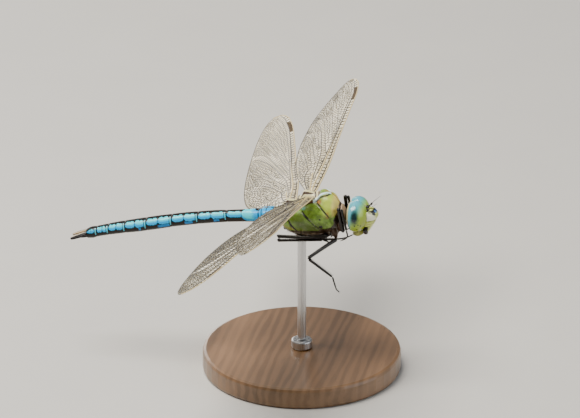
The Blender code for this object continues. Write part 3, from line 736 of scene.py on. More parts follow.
def segment_fields(number, share, around):
    """Marks of one segment, as distances in millimetres.

    share runs from the segment's front to its back, and around is 0 on the back's middle and 180
    degrees under the belly. The blue lies between a black back and a black belly.
    """
    length_mm = SEGMENT_ENDS[number - 1] - SEGMENT_ENDS[number]
    girth = 0.026  # millimetres to a degree round the abdomen
    along = share * length_mm
    fold = 0.54  # where the line across the segment runs
    if number == 1:
        black_top, black_low = np.full_like(share, 10), np.full_like(share, 130)
    elif number == 2:
        black_top = 7 + 22 * bump(share, 0.98, 0.10) + 12 * bump(share, 0.48, 0.05)
        black_low = 132 - 8 * bump(share, 0.5, 0.2)
    elif number == 10:
        waist = 1 - bump(share, 0.55, 0.36)
        black_top, black_low = 35 + 30 * waist, 75 - 20 * waist
    else:
        black_top = 21 + 26 * (1 - step(along, 0.5, 1.1)) + 24 * bump(share, fold, 0.045)
        black_top += 7 * bump(share, 0.30, 0.05) + 9 * bump(share, 0.76, 0.05) + 26 * step(share, 0.90, 0.99)
        black_low = 80 - 16 * bump(share, fold, 0.05) + 5 * bump(share, 0.3, 0.14)
        black_low -= 14 * step(share, 0.86, 1.0)
        if number == 3:
            black_top -= 24 * (1 - step(share, 0.35, 0.60))
            black_low += 40 * (1 - step(share, 0.35, 0.66))
    blue = np.minimum(around - black_top, black_low - around) * girth
    patch_at, patch_half = PATCHES.get(number, (0, 0))
    patch_long = (patch_half - np.abs(share - patch_at)) * length_mm
    patch = np.minimum(patch_long, (14 - np.abs(around - 104)) * girth)
    # Painted shade: the lowest part of the blue turns deeper and darker than its lit upper part; the second
    # segment and the third's front are deeper blue all over.
    low_edge = (around - black_low + 22) * girth
    low_shade_and_deep_blue = np.minimum(blue, {2: 0.25, 3: np.maximum(0.5 - along * 0.35, low_edge)}.get(number, low_edge))
    line = np.maximum(0.20 - along, 0.10 - (length_mm - along))
    band = np.full_like(blue, -1.0)
    if number == 2:
        line = np.maximum(line, 0.10 - np.abs(along - 0.48 * length_mm))
        line = np.maximum(line, 0.10 - np.abs(along - 0.80 * length_mm))
    elif number > 2:
        line = np.maximum(line, 0.045 - np.abs(along - fold * length_mm))
    if number > 3:
        line = np.maximum(line, 0.07 - np.abs(along - 0.62))
        band = np.minimum(0.12 - np.abs(along - 0.38), (40 - np.abs(around - 66)) * girth)
    return {"blue": blue, "low_shade_and_deep_blue": low_shade_and_deep_blue, "patch": patch, "ring": line, "band": band}


def abdomen_materials():
    """The first segment's green finish, and the black and blue one of the other nine."""
    body, _, _ = settings()
    ring = ("ring", body.black, 0.04, 0.05)
    finish = dict(roughness=0.36, grain=0.12, per_mm=1.0, pit=9.0, pit_depth=0.012, Specular_IOR_Level=0.15)
    marks = (
        ("blue", body.blue, 0.05, 0.62),
        # Painted shade: deeper blue along the lower edge of the blue, and over the second segment and the
        # third's front.
        ("low_shade_and_deep_blue", (0.0, 0.36, 0.80), 0.25, 0.5),
        ("patch", body.deep_blue, 0.08, 0.35),
        ring,
        ("band", (0.10, 0.56, 0.68), 0.05, 0.12),
    )
    blue = painted("abdomen_blue", body.black, marks, Coat_Weight=0.3, Coat_Roughness=0.10, **finish)
    marks = (("blue", (0.55, 0.68, 0.42), 0.08, 0.3), ring)
    green = painted("abdomen_green", body.black, marks, Coat_Weight=0.3, Coat_Roughness=0.25, **finish)
    return green, blue


def build_abdomen_pieces():
    """Ten tail segments. Each is an oval section carried along X that swells by 1 - 0.09 exp(-d / 0.35)
    towards its joints, with a low ring where its plates cross, and laps over the next one's front."""
    green, blue = abdomen_materials()
    rows, columns, lap = 110, 144, 0.28
    share, turn = np.linspace(0, 1, rows), circle(columns)
    around = np.degrees(np.abs((turn - np.pi / 2 + np.pi) % (2 * np.pi) - np.pi))
    for number, (front, back) in enumerate(zip(SEGMENT_ENDS, SEGMENT_ENDS[1:]), start=1):
        first, last = front + (lap if number > 1 else 0), back - (0.1 if number < 10 else 0)
        along = first + (last - first) * share
        to_front, to_back = np.maximum(front - along, 0), np.maximum(along - back, 0)
        swell = 1 - 0.09 * np.exp(-to_front / 0.35) - 0.03 * np.exp(-to_back / 0.5)
        swell = swell - 0.05 * (along > front) + 0.02 * bump(to_back, 0.12, 0.12)
        swell += 0.012 * bump(to_front, 0.46 * (front - back), 0.12) * (number > 1)
        rings = abdomen_section(along[:, None], turn[None], swell[:, None])
        waist = 0.05 * bump(to_front, 1.6, 0.9)[:, None] * np.cos(turn)[None] ** 2
        keel = 0.10 * bump(turn, np.pi / 2, 0.14)[None] * step(to_back, 0, 0.4)[:, None]
        rings[..., 1] *= 1 + waist * (number == 2)
        rings[..., 2] += keel * (number > 2)
        place_share = np.concatenate([np.repeat(np.clip(to_front / (front - back), 0, 1), columns), [0, 1]])
        fields = segment_fields(number, place_share, np.concatenate([np.tile(around, rows), [90, 90]]))
        name = f"abdomen_{number:02d}"
        material, slot = (green, "abdomen_green") if number == 1 else (blue, "abdomen_blue")
        make_piece(name + "_shell", capped(rings), material, [name], fields)


def tail_blade_material():
    """Near-black shell with a brown inner edge."""
    body, _, _ = settings()
    # Painted highlight: a tan strip on the upper side of each blade, along its inner edge.
    marks = (("light", (0.45, 0.32, 0.17), 0.15, 0.3),)
    return painted(
        "tail_blade", body.leg_black, marks, 0.4, grain=0.3,
        Coat_Weight=0.15, Coat_Roughness=0.2, Specular_IOR_Level=0.3,
    )


def build_tail_pieces():
    """Two leaf-shaped upper blades and a short lower one: a flat oval tube whose width follows the leaf,
    with a ridge along it that rises as exp(-(y / 0.16)^2)."""
    material = tail_blade_material()
    share, turn = np.linspace(0, 1, 70)[:, None], circle(40)
    c, s = np.cos(turn), np.sin(turn)
    back, height = SEGMENT_ENDS[-1] - GAP, ABDOMEN_CENTRE_HEIGHT[-1]
    cercus_length, cercus_half, inside = 3.9, 0.72, 0.35
    for name, side in (("cercus_left", 1), ("cercus_right", -1)):
        width = cercus_half * (0.38 + 0.62 * np.sin(np.pi * share**0.8) ** 0.7)
        tip = np.sqrt(np.clip(1 - ((share - 0.9) / 0.1) ** 2, 0, 1)) * 0.8 + 0.2
        y = width * np.where(share > 0.9, tip, 1) * signed_power(c, 0.8)
        thick = (0.33 - 0.12 * share) * signed_power(s, 0.7)
        ridge = 0.16 * bump(y, side * 0.1, 0.16) * (s > 0) * np.sin(np.pi * share) ** 0.5
        points, faces = capped(sections(inside - (cercus_length + inside) * share, y, thick + ridge))
        # Painted highlight: tan on the upper side, along the inner edge.
        fields = {"light": np.where(points[:, 2] > 0, -side * points[:, 1] - 0.2, -1.0)}
        points = turned(points, (side * -16, -12, side * -4)) + (back, side * 0.95, height + 0.4)
        make_piece(name + "_blade", (points, faces), material, [name], fields)
    width = 0.45 - 0.10 * share - 0.18 * bump(share, 1.0, 0.12)
    points, faces = capped(sections(0.3 - 2.0 * share, width * c, 0.22 * s * (1 - 0.3 * share)))
    points = turned(points, (0, -4, 0)) + (back, 0, height - 0.65)
    fields = {"light": np.full(len(points), -1.0)}
    make_piece("epiproct_blade", (points, faces), material, ["epiproct"], fields)


# ---------------------------------------------------------------- head
def eye_points(side, rows, columns):
    """An eye in the head's frame: a ball whose reach differs on every side, kept outside the seam
    between the eyes and ahead of the flat back by moving what lies beyond onto those planes."""
    tilt = (1 - np.cos(np.linspace(0, np.pi, rows))) / 2 * np.pi
    tilt = (np.linspace(0.02, np.pi - 0.02, rows) * 0.5 + tilt * 0.5)[:, None]
    turn = circle(columns)
    out, x, z = np.cos(tilt), np.sin(tilt) * np.cos(turn), np.sin(tilt) * np.sin(turn)
    x = np.maximum(x * np.where(x > 0, EYE_FRONT, EYE_BACK), EYE_FLAT_BACK)
    y = np.maximum(EYE_CENTRE_OUT + out * np.where(out > 0, EYE_OUTER, EYE_INNER), GAP / 4)
    return sections(x, side * y, z * np.where(z > 0, EYE_TOP, EYE_BOTTOM))


def eye_material():
    """Facets as a fine cell pattern, blue above and behind turning green below and in front, dark specks."""
    _, head, _ = settings()
    material, tree, shader = new_material(
        "eye", Roughness=0.22, Coat_Weight=0.55, Coat_Roughness=0.06, IOR=1.4
    )
    height = math_node(tree, "MULTIPLY_ADD", noise(tree, 0.5), 0.25, -0.125)
    height = math_node(tree, "ADD", height, read_field(tree, "height"))
    made = node(tree, "ValToRGB", {"Fac": height})
    stops = made.color_ramp.elements
    stops[0].position, stops[0].color = 0.0, (0.30, 0.36, 0.02, 1)
    stops[1].position, stops[1].color = 1.0, rgba(head.eye_blue)
    for position, shade in (
        (0.22, head.eye_green),
        (0.42, (0.38, 0.58, 0.10)),
        (0.56, (0.18, 0.48, 0.22)),
        (0.70, (0.10, 0.42, 0.42)),
        (0.85, (0.10, 0.40, 0.52)),
    ):
        stops.new(position).color = rgba(shade)
    cells = {"Vector": object_place(tree), "Scale": 1.35 / MM, "Randomness": 0.9}
    specks = ramp(tree, node(tree, "TexVoronoi", cells).outputs["Distance"], 0.32, 0.18)
    specked = ramp(tree, read_field(tree, "specked"), 0.0, 1.0)
    paint = mixed(tree, math_node(tree, "MULTIPLY", specks, specked), made.outputs[0], (0.04, 0.08, 0.012, 1))
    paint = mixed(tree, mark(tree, "shadow", 0.65, 0.5), paint, (0.012, 0.03, 0.034, 1))
    paint = mixed(tree, mark(tree, "rear", 0.16, 0.15), paint, (0.10, 0.40, 0.48, 1))
    tree.links.new(paint, shader.inputs["Base Color"])
    facets = node(tree, "TexVoronoi", {"Vector": object_place(tree), "Scale": 13.0 / MM}).outputs["Distance"]
    roughened(tree, shader, math_node(tree, "SUBTRACT", 1.0, facets), 0.35, 0.010)
    return material


def build_eye_pieces():
    """The two eyes, with how high, how specked and how shaded each place is."""
    material = eye_material()
    for name, side in (("eye_left", 1), ("eye_right", -1)):
        shape = capped(eye_points(side, 150, 220))
        x, y, z = shape[0].T
        fields = {
            "height": np.clip(0.5 + 0.45 * z / EYE_TOP - 0.18 * x, 0, 1),
            "specked": step(-z + 0.6 * x, -0.4, 1.2),
            "shadow": 1.15 - np.hypot((x - 0.2) * 1.3, (z - 1.0) * 0.7) - 3 * (y * side < 2.0),
            "rear": 0.42 - (x - EYE_FLAT_BACK) + 0.14 * z,
        }
        make_piece(name + "_facets", shape, material, [name], fields, place=fly_from_head, sharp=50)


FACE_PLATES = {
    "frons": (0.9, (
        (1.6, 3.3, 0.9), (1.35, 4.0, 1.5), (0.7, 4.65, 2.1), (-0.1, 4.8, 2.3), (-0.95, 4.5, 2.4),
    )),
    "clypeus": (0.9, ((-0.98, 4.4, 2.4), (-1.6, 4.2, 2.5), (-2.25, 3.8, 2.4))),
    "labrum": (1.5, ((-2.3, 3.65, 2.2), (-3.0, 3.35, 2.2), (-3.8, 2.75, 1.9), (-4.4, 2.2, 1.3))),
}
FEELER_ROUTE = ((2.75, 1.68, 1.55), (3.1, 1.8, 1.95), (3.5, 1.92, 2.35), (4.3, 2.05, 3.0), (5.2, 2.22, 3.72))


def face_plate(back, levels, rows=60, columns=90, corner=0.22):
    """A face plate: level sections, each a bow across a flat back, drawn in near the plate's edges.

    A bow is x = back + (reach - back) cos^0.55, y = half sin. Drawn in by corner (1 - sqrt(1 - (1 -
    d / corner)^2)), with d the distance to the upper or lower edge, a plate has a round rim.
    """
    heights, reaches, halves = np.array(levels).T
    share = np.linspace(0, 1, rows)
    height = heights[0] + (heights[-1] - heights[0]) * share
    edge = np.minimum(share, 1 - share) * abs(heights[-1] - heights[0])
    tuck = corner * (1 - np.sqrt(1 - (1 - np.clip(edge / corner, 0, 1)) ** 2))
    reach = (through(heights, reaches, height) - tuck)[:, None]
    half = (through(heights, halves, height) - tuck)[:, None]
    turn = np.linspace(-np.pi, np.pi, columns, endpoint=False)
    front = np.maximum(np.cos(turn), 0) ** 0.55
    return sections(back + (reach - back) * front, half * np.sin(turn), height[:, None])


def face_material():
    """Yellow-green shell with pale sides, olive seams, dark lines and blue spots."""
    body, head, _ = settings()
    marks = (
        # Near-white on the sides of the frons: partly their own pale colour, partly a painted highlight.
        ("pale", head.face_pale_and_highlight, 0.5, 0.5),
        ("olive", head.olive, 0.12, 0.2),
        ("dark", body.black, 0.07, 0.15),
        ("spot", (0.10, 0.25, 0.62), 0.08, 0.1),
    )
    return painted(
        "face_shell", head.face, marks, 0.36, grain=0.16, per_mm=2.0, Coat_Weight=0.35, Coat_Roughness=0.2
    )


def face_fields(name, points):
    """Marks of one face plate, as distances in millimetres."""
    x, y, z = points.T
    out = np.abs(y)
    absent = np.full(len(x), -1.0)
    if name == "frons":
        top_line = np.minimum(0.30 - np.abs(z - 1.12 + 0.05 * out), 1.5 - out)
        stem = np.minimum(0.22 - out, z - 0.9)
        dots = 0.30 - np.hypot(out - 1.35, z - 0.62)
        return {
            "dark": np.maximum.reduce([top_line, stem, dots, 1.55 - x]),
            "spot": 0.28 - np.hypot(out - 0.55, z - 0.95),
            # The frons's outer sides: pale, and partly a painted highlight.
            "pale": out - 1.35 - 0.25 * z,
            "olive": -0.79 - z,
        }
    if name == "clypeus":
        return {
            "dark": 1.45 - x,
            "spot": absent,
            "pale": absent,
            "olive": np.maximum(0.10 - np.abs(z + 1.62), 0.3 - np.hypot(out - 0.9, z + 1.3)),
        }
    return {
        "dark": np.maximum(-3.85 - z - 0.2 * x, out - 2.0),
        "spot": absent,
        "pale": 0.25 - np.hypot(out - 1.1, (z + 3.0) * 0.8),
        "olive": 0.16 - out,
    }


def build_face_plates():
    """Frons, clypeus and labrum: the frons has a groove down its top and a ledge, the labrum a cleft."""
    material = face_material()
    for name, (back, levels) in FACE_PLATES.items():
        rings = face_plate(back, levels)
        x, y, z = np.moveaxis(rings, -1, 0)
        if name == "frons":
            z -= 0.12 * bump(y, 0, 0.35) * step(z, 0.6, 1.5)
            x += 0.10 * bump(z, -0.15, 0.5) * step(x, 2.5, 4.0)
        if name == "labrum":
            x -= 0.14 * bump(y, 0, 0.25) * step(x, 1.8, 2.6)
        shape = capped(rings)
        fields = face_fields(name, shape[0])
        make_piece(
            name + "_plate", shape, material, [name], fields, place=fly_from_head, sharp=60
        )


def build_crown_piece():
    """The crown between the eyes: a hump, three beads that are the small eyes, and an arm to each feeler."""
    body, head, _ = settings()
    marks = (("pale", head.face, 0.08, 0.1),)
    material = painted("crown_shell", body.black, marks, 0.3, Coat_Weight=0.4, Coat_Roughness=0.15)
    share = np.linspace(0, 1, 24)
    hump = np.array((1.75, 0, 2.15)) + np.outer(share, (1.0, 0, -0.75))
    shapes = [tube(hump, 0.46 * rounded(share, 0.5, 0.5), 20)]
    for at in ((2.72, 0.0, 1.80), (2.42, 0.42, 1.95), (2.42, -0.42, 1.95)):
        bead = np.array(at) + np.outer(share - 0.5, (0.28, 0, 0.24))
        shapes.append(tube(bead, 0.19 * rounded(share, 0.5, 0.5), 14))
    for side in (-1, 1):
        arm = smooth_path(mirrored([(2.1, 0.2, 1.6), (2.45, 0.95, 1.5), (2.72, 1.66, 1.42)], side), 24)
        shapes.append(tube(arm, 0.27 * rounded(share, 0.3, 0.3), 16))
    shape = joined(shapes)
    x, y, _ = shape[0].T
    fields = {"pale": 0.14 - np.hypot(y, x - 2.1)}
    make_piece("crown", shape, material, (), fields, place=fly_from_head)


def build_jaw_pieces():
    """Two curved jaws that narrow towards their tips, behind the labrum."""
    body, _, _ = settings()
    material = painted("leg_black_shell", body.leg_black, (), 0.25, Coat_Weight=0.5, Coat_Roughness=0.15)
    share = np.linspace(0, 1, 50)
    radius = 0.42 * rounded(share, 0.25, 0.5) * (1 - 0.15 * share)
    for name, side in (("mandible_left", 1), ("mandible_right", -1)):
        path = smooth_path(mirrored([(2.1, 2.55, -2.7), (2.15, 2.3, -3.5), (2.15, 1.7, -4.25)], side), 50)
        jaw = tube(path, radius, 18, flatten=1.6, reference=np.array([1.0, 0, 0]))
        make_piece(name + "_jaw", jaw, material, [name], place=fly_from_head)


def build_lip_piece():
    """The lower lip: level ovals below the mouth, with a seam down the middle of its front."""
    body, head, _ = settings()
    marks = (("dark", body.black, 0.15, 0.3),)
    material = painted("lower_lip", head.olive, marks, 0.42, grain=0.25, Coat_Weight=0.25)
    share, turn = np.linspace(0, 1, 50)[:, None], circle(72)
    ends = np.minimum(1, rounded(share, 0.12, 0.02) + 0.3)
    reach = through((0, 0.14, 0.5, 1), (0.62, 1.15, 1.3, 1.25), share) * ends
    half = through((0, 0.14, 0.5, 1), (1.1, 1.8, 2.1, 1.9), share) * ends
    seam = 1 - 0.12 * bump(np.sin(turn), 0, 0.12) * (np.cos(turn) > 0)
    shape = capped(sections(reach * np.cos(turn) * seam, half * np.sin(turn), -5.08 + 2.1 * share))
    fields = {"dark": -4.95 - shape[0][:, 2]}
    make_piece("labium_plate", shape, material, ["labium"], fields, place=fly_from_head)


def build_head_back_piece():
    """The back of the head: upright ovals that grow towards the eyes, dented above, with a pale ring."""
    body, _, _ = settings()
    marks = (("pale", (0.55, 0.52, 0.28), 0.12, 0.25),)
    material = painted("head_back", body.black, marks, 0.4, Coat_Weight=0.3)
    share, turn = np.linspace(0, 1, 40)[:, None], circle(120)
    widest, tallest = 4.15, 3.2
    half = through((0, 0.25, 0.6, 1), (1.1, 2.5, 3.7, widest), share)
    tall = through((0, 0.25, 0.6, 1), (1.3, 2.25, 2.95, tallest), share)
    dent = 1 - 0.06 * bump(np.sin(turn), 1, 0.2)
    shape = capped(sections(-2.35 + 0.98 * share, half * np.cos(turn), -0.1 + tall * (np.sin(turn) * dent)))
    _, y, z = shape[0].T
    fields = {"pale": 0.34 - np.abs(np.hypot(y / widest, z / tallest) - 0.86) * 3.2}
    make_piece("head_back", shape, material, ["head"], fields, place=fly_from_head, sharp=60)


def build_feeler_pieces():
    """Two feelers: a thick root, then a thin thread that narrows, with faint joints."""
    body, _, _ = settings()
    material = painted("feeler_shell", body.leg_black, (), 0.35)
    share = np.linspace(0, 1, 60)
    radius = 0.055 + 0.15 * (1 - step(share, 0.18, 0.26)) + 0.05 * bump(share, 0.12, 0.06)
    radius = radius * (1 - 0.55 * step(share, 0.3, 1.0)) * (1 - 0.12 * bump(share % 0.2, 0.0, 0.02))
    radius *= rounded(share, 0.04, 0.02)
    for name, side in (("antenna_left", 1), ("antenna_right", -1)):
        path = smooth_path(mirrored(FEELER_ROUTE, side), 60)
        make_piece(name + "_feeler", tube(path, radius, 12), material, [name], place=fly_from_head)


def build_face_pieces():
    """Everything on the head but the eyes."""
    build_face_plates()
    build_crown_piece()
    build_jaw_pieces()
    build_lip_piece()
    build_head_back_piece()
    build_feeler_pieces()


# ---------------------------------------------------------------- legs
def leg_material():
    """Black shell, browner where its field is higher."""
    body, _, _ = settings()
    return painted(
        "leg_shell", body.leg_black, (("brown", (0.10, 0.05, 0.025), 0.5, 0.6),), 0.34,
        grain=0.3, Coat_Weight=0.25, Coat_Roughness=0.18, Specular_IOR_Level=0.35,
    )


def spines_along(path, radii, down, count, spread, length_mm, thickness, lean):
    """Two rows of bristles: roots spaced along the leg, on both sides of the downward direction."""
    share = np.linspace(0.06, 0.96, count)
    at = np.stack([np.interp(share, np.linspace(0, 1, len(path)), column) for column in path.T], 1)
    radius = np.interp(share, np.linspace(0, 1, len(path)), radii)
    tangent = unit(np.gradient(at, axis=0))
    below = unit(down - (tangent @ down)[:, None] * tangent)
    across = np.cross(tangent, below)
    roots, tips = [], []
    for side in (-1, 1):
        outwards = unit(below * math.cos(spread) + side * across * math.sin(spread))
        start = at + outwards * (radius * 0.7)[:, None]
        reach = length_mm * (0.75 + 0.25 * np.sin(share * np.pi))
        roots.append(start)
        tips.append(start + unit(outwards + lean * tangent) * reach[:, None])
    roots, tips = np.vstack(roots), np.vstack(tips)
    return cones(roots, tips, np.full(len(roots), thickness))


def leg_paths(joints, side):
    """The solids' own routes of hip, thigh, shin and foot, run on so that they meet at the joints."""
    top, end = mirrored(joints["coxa"], side)
    routes = (mirrored(joints[part], side) for part in ("femur", "tibia", "tarsus"))
    thigh, shin, foot = (smooth_path(route, 90) for route in routes)
    hip = smooth_path([top + (top - end) * 0.15, end, (end + thigh[0] * 2) / 3], 40)
    knee = thigh[-1] + (shin[0] - thigh[-1]) * 0.55
    bend = np.linspace(0, 1, 9)[1:, None]
    thigh = np.vstack([thigh[0] + (end - thigh[0]) * 0.3, thigh, thigh[-1] + bend * (knee - thigh[-1])])
    shin = np.vstack([shin[0] + bend[::-1] * (knee - shin[0]), shin])
    return hip, thigh, shin, np.vstack([shin[-1], foot])


def claws(foot, fold):
    """The two hooks at the end of a foot, spread apart and bent towards the leg's inside."""
    last, onward = foot[-2], unit(foot[-2] - foot[-12])
    across = unit(np.cross(onward, fold))
    radius = 0.065 * (1 - 0.85 * np.linspace(0, 1, 14)) + 0.004
    hooks = []
    for way in (-1, 1):
        middle = last + onward * 0.25 + across * way * 0.16
        tip = last + onward * 0.42 + across * way * 0.2 + fold * 0.18
        hooks.append(tube(smooth_path([last, middle, tip], 14), radius, 8))
    return hooks


def leg_shapes(joints, side, shin_spines):
    """A leg's parts: tubes, thickest where the muscle is, with two rows of bristles on the folding side."""
    hip, thigh, shin, foot = leg_paths(joints, side)
    fold = unit((shin[-1] - shin[0]) + (thigh[0] - thigh[-1]))
    share = np.linspace(0, 1, len(hip))
    hip_radius = np.interp(share, (0, 0.5, 0.78, 0.86, 1.0), (0.88, 0.80, 0.52, 0.40, 0.44))
    hip_radius *= rounded(share, 0.05, 0.12)
    share = np.linspace(0, 1, len(thigh))
    thigh_radius = (0.48 - 0.10 * share + 0.05 * bump(share, 0.93, 0.05)) * rounded(share, 0.05, 0.04)
    thigh_bristles = spines_along(
        thigh, thigh_radius, fold, count=16, spread=0.6, length_mm=0.42, thickness=0.045, lean=0.5
    )
    share = np.linspace(0, 1, len(shin))
    shin_radius = (0.33 - 0.08 * share + 0.05 * bump(share, 0.04, 0.06)) * rounded(share, 0.04, 0.03)
    shin_bristles = spines_along(
        shin, shin_radius, fold, count=shin_spines, spread=0.75, length_mm=0.85, thickness=0.05, lean=0.75
    )
    share = np.linspace(0, 1, len(foot))
    joint = 1 - 0.28 * bump(share, 0.30, 0.015) - 0.28 * bump(share, 0.60, 0.015)
    foot_radius = (0.20 - 0.07 * share) * joint * rounded(share, 0.03, 0.03)
    foot_bristles = spines_along(
        foot, foot_radius, fold, count=14, spread=0.6, length_mm=0.3, thickness=0.03, lean=0.9
    )
    return {
        "coxa": tube(hip, hip_radius, 24),
        "femur": joined([tube(thigh, thigh_radius, 20), thigh_bristles]),
        "tibia": joined([tube(shin, shin_radius, 18), shin_bristles]),
        "tarsus": joined([tube(foot, foot_radius, 14), foot_bristles, *claws(foot, fold)]),
    }


def build_leg_pieces():
    """Six legs of four parts. The forelegs' shins have fewer bristles, and the hips are browner."""
    material = leg_material()
    for leg, (joints, side) in LEGS.items():
        for part, shape in leg_shapes(joints, side, 15 if "fore" in leg else 20).items():
            name = f"{leg}_{part}"
            fields = {"brown": np.full(len(shape[0]), 0.1 if part == "coxa" else -0.6)}
            make_piece(name + "_shell", shape, material, [name], fields)


# ---------------------------------------------------------------- wings
# Main veins as (share of the span, share of the chord from the front edge) and a radius and ridge in
# millimetres: a positive ridge stands up and a negative one lies in a fold.
FOREWING_VEINS = {
    "subcosta": (0.085, -0.20, (
        (-0.035, 0.25), (0, 0.20), (0.1, 0.10), (0.25, 0.082), (0.4, 0.057), (0.47, 0.04), (0.498, 0.0),
    )),
    "radius": (0.120, 0.22, (
        (-0.035, 0.45), (0, 0.40), (0.1, 0.23), (0.25, 0.165), (0.4, 0.125), (0.5, 0.105), (0.65, 0.098),
        (0.8, 0.105), (0.9, 0.135), (0.96, 0.12), (0.985, 0.0),
    )),
    "fork_1": (0.080, -0.12, (
        (0.1, 0.36), (0.2, 0.27), (0.35, 0.20), (0.5, 0.165), (0.65, 0.175), (0.8, 0.20), (0.9, 0.26),
        (0.96, 0.34), (0.99, 0.5),
    )),
    "between_1": (0.055, 0.06, ((0.7, 0.25), (0.8, 0.36), (0.9, 0.50), (0.955, 0.72), (0.972, 0.95))),
    "fork_2": (0.070, -0.10, (
        (0.5, 0.17), (0.6, 0.26), (0.72, 0.39), (0.84, 0.57), (0.91, 0.78), (0.945, 1.0),
    )),
    "between_2": (0.065, 0.12, (
        (0.42, 0.19), (0.55, 0.33), (0.68, 0.48), (0.79, 0.66), (0.855, 0.84), (0.885, 1.0),
    )),
    "loop_2": (0.050, 0.0, ((0.58, 0.41), (0.66, 0.545), (0.74, 0.68), (0.80, 0.82))),
    "fork_3": (0.070, -0.10, (
        (0.3, 0.225), (0.42, 0.36), (0.54, 0.50), (0.64, 0.66), (0.70, 0.84), (0.725, 1.0),
    )),
    "middle_front": (0.080, 0.14, (
        (0.1, 0.44), (0.18, 0.38), (0.3, 0.36), (0.42, 0.45), (0.54, 0.59), (0.62, 0.75), (0.665, 0.89),
        (0.685, 1.0),
    )),
    "loop_3": (0.050, 0.0, ((0.36, 0.52), (0.46, 0.64), (0.54, 0.77), (0.60, 0.92))),
    "middle_rear": (0.070, -0.12, ((0.235, 0.46), (0.32, 0.56), (0.42, 0.68), (0.50, 0.82), (0.555, 1.0))),
    "elbow": (0.070, 0.10, ((0.175, 0.64), (0.24, 0.70), (0.32, 0.80), (0.39, 0.91), (0.42, 1.0))),
    "stem": (0.110, -0.10, ((-0.035, 0.7), (0, 0.62), (0.06, 0.53), (0.142, 0.47))),
    "rear": (0.090, 0.10, ((-0.035, 0.95), (0, 0.86), (0.06, 0.80), (0.12, 0.74), (0.175, 0.64))),
}
FOREWING_CROSSES = {
    "triangle_front": (0.065, ((0.142, 0.47), (0.235, 0.46))),
    "triangle_base": (0.065, ((0.142, 0.47), (0.175, 0.64))),
    "triangle_end": (0.065, ((0.175, 0.64), (0.235, 0.46))),
    "arch": (0.085, ((0.1, 0.23), (0.1, 0.44), (0.098, 0.50))),
    "node": (0.120, ((0.498, 0.0), (0.50, 0.105), (0.515, 0.168))),
    "brace_1": (0.085, ((0.085, 0.0), (0.088, 0.245))),
    "brace_2": (0.085, ((0.21, 0.0), (0.215, 0.18))),
}
HINDWING_VEINS = {
    "subcosta": (0.085, -0.20, (
        (-0.035, 0.25), (0, 0.15), (0.1, 0.055), (0.25, 0.052), (0.36, 0.036), (0.416, 0.0),
    )),
    "radius": (0.120, 0.22, (
        (-0.035, 0.45), (0, 0.30), (0.1, 0.118), (0.25, 0.105), (0.4, 0.086), (0.6, 0.086), (0.8, 0.105),
        (0.9, 0.13), (0.96, 0.12), (0.985, 0.0),
    )),
    "fork_1": (0.080, -0.12, (
        (0.08, 0.18), (0.2, 0.155), (0.42, 0.137), (0.6, 0.15), (0.8, 0.20), (0.9, 0.26), (0.96, 0.35),
        (0.99, 0.5),
    )),
    "between_1": (0.055, 0.06, ((0.7, 0.22), (0.8, 0.34), (0.9, 0.50), (0.955, 0.75), (0.97, 0.95))),
    "fork_2": (0.070, -0.10, (
        (0.42, 0.14), (0.55, 0.24), (0.7, 0.38), (0.82, 0.56), (0.9, 0.78), (0.935, 1.0),
    )),
    "between_2": (0.065, 0.12, (
        (0.34, 0.15), (0.48, 0.28), (0.62, 0.42), (0.75, 0.62), (0.83, 0.82), (0.865, 1.0),
    )),
    "loop_2": (0.050, 0.0, ((0.52, 0.36), (0.62, 0.50), (0.72, 0.66), (0.78, 0.82))),
    "fork_3": (0.070, -0.10, (
        (0.24, 0.16), (0.35, 0.26), (0.48, 0.40), (0.60, 0.58), (0.68, 0.80), (0.71, 1.0),
    )),
    "middle_front": (0.080, 0.14, (
        (0.08, 0.22), (0.16, 0.205), (0.24, 0.225), (0.35, 0.32), (0.48, 0.48), (0.58, 0.68),
        (0.64, 0.86), (0.665, 1.0),
    )),
    "loop_3": (0.050, 0.0, ((0.30, 0.35), (0.40, 0.49), (0.50, 0.67), (0.57, 0.88))),
    "middle_rear": (0.070, -0.12, ((0.19, 0.25), (0.27, 0.36), (0.37, 0.52), (0.46, 0.74), (0.515, 1.0))),
    "elbow": (0.070, 0.10, ((0.135, 0.34), (0.19, 0.42), (0.27, 0.55), (0.34, 0.74), (0.375, 1.0))),
    "stem": (0.110, -0.10, ((-0.035, 0.7), (0, 0.5), (0.05, 0.29), (0.115, 0.25))),
    "rear": (0.090, 0.10, ((-0.035, 0.95), (0, 0.8), (0.03, 0.43), (0.08, 0.37), (0.135, 0.34))),
}
HINDWING_CROSSES = {
    "triangle_front": (0.065, ((0.115, 0.25), (0.19, 0.25))),
    "triangle_base": (0.065, ((0.115, 0.25), (0.135, 0.34))),
    "triangle_end": (0.065, ((0.135, 0.34), (0.19, 0.25))),
    "arch": (0.085, ((0.08, 0.12), (0.08, 0.22), (0.075, 0.272))),
    "node": (0.120, ((0.416, 0.0), (0.418, 0.086), (0.43, 0.137))),
    "anal_loop": (0.065, (
        (0.135, 0.34), (0.108, 0.47), (0.122, 0.61), (0.165, 0.64), (0.195, 0.55), (0.19, 0.42),
    )),
    "elbow_branch": (0.055, ((0.185, 0.58), (0.23, 0.70), (0.27, 0.86), (0.285, 1.0))),
    "anal_1": (0.055, ((0.06, 0.38), (0.075, 0.6), (0.085, 0.8), (0.09, 1.0))),
    "anal_2": (0.055, ((0.03, 0.43), (0.035, 0.7), (0.04, 1.0))),
    "brace_1": (0.085, ((0.07, 0.0), (0.073, 0.14))),
    "brace_2": (0.085, ((0.17, 0.0), (0.173, 0.11))),
}
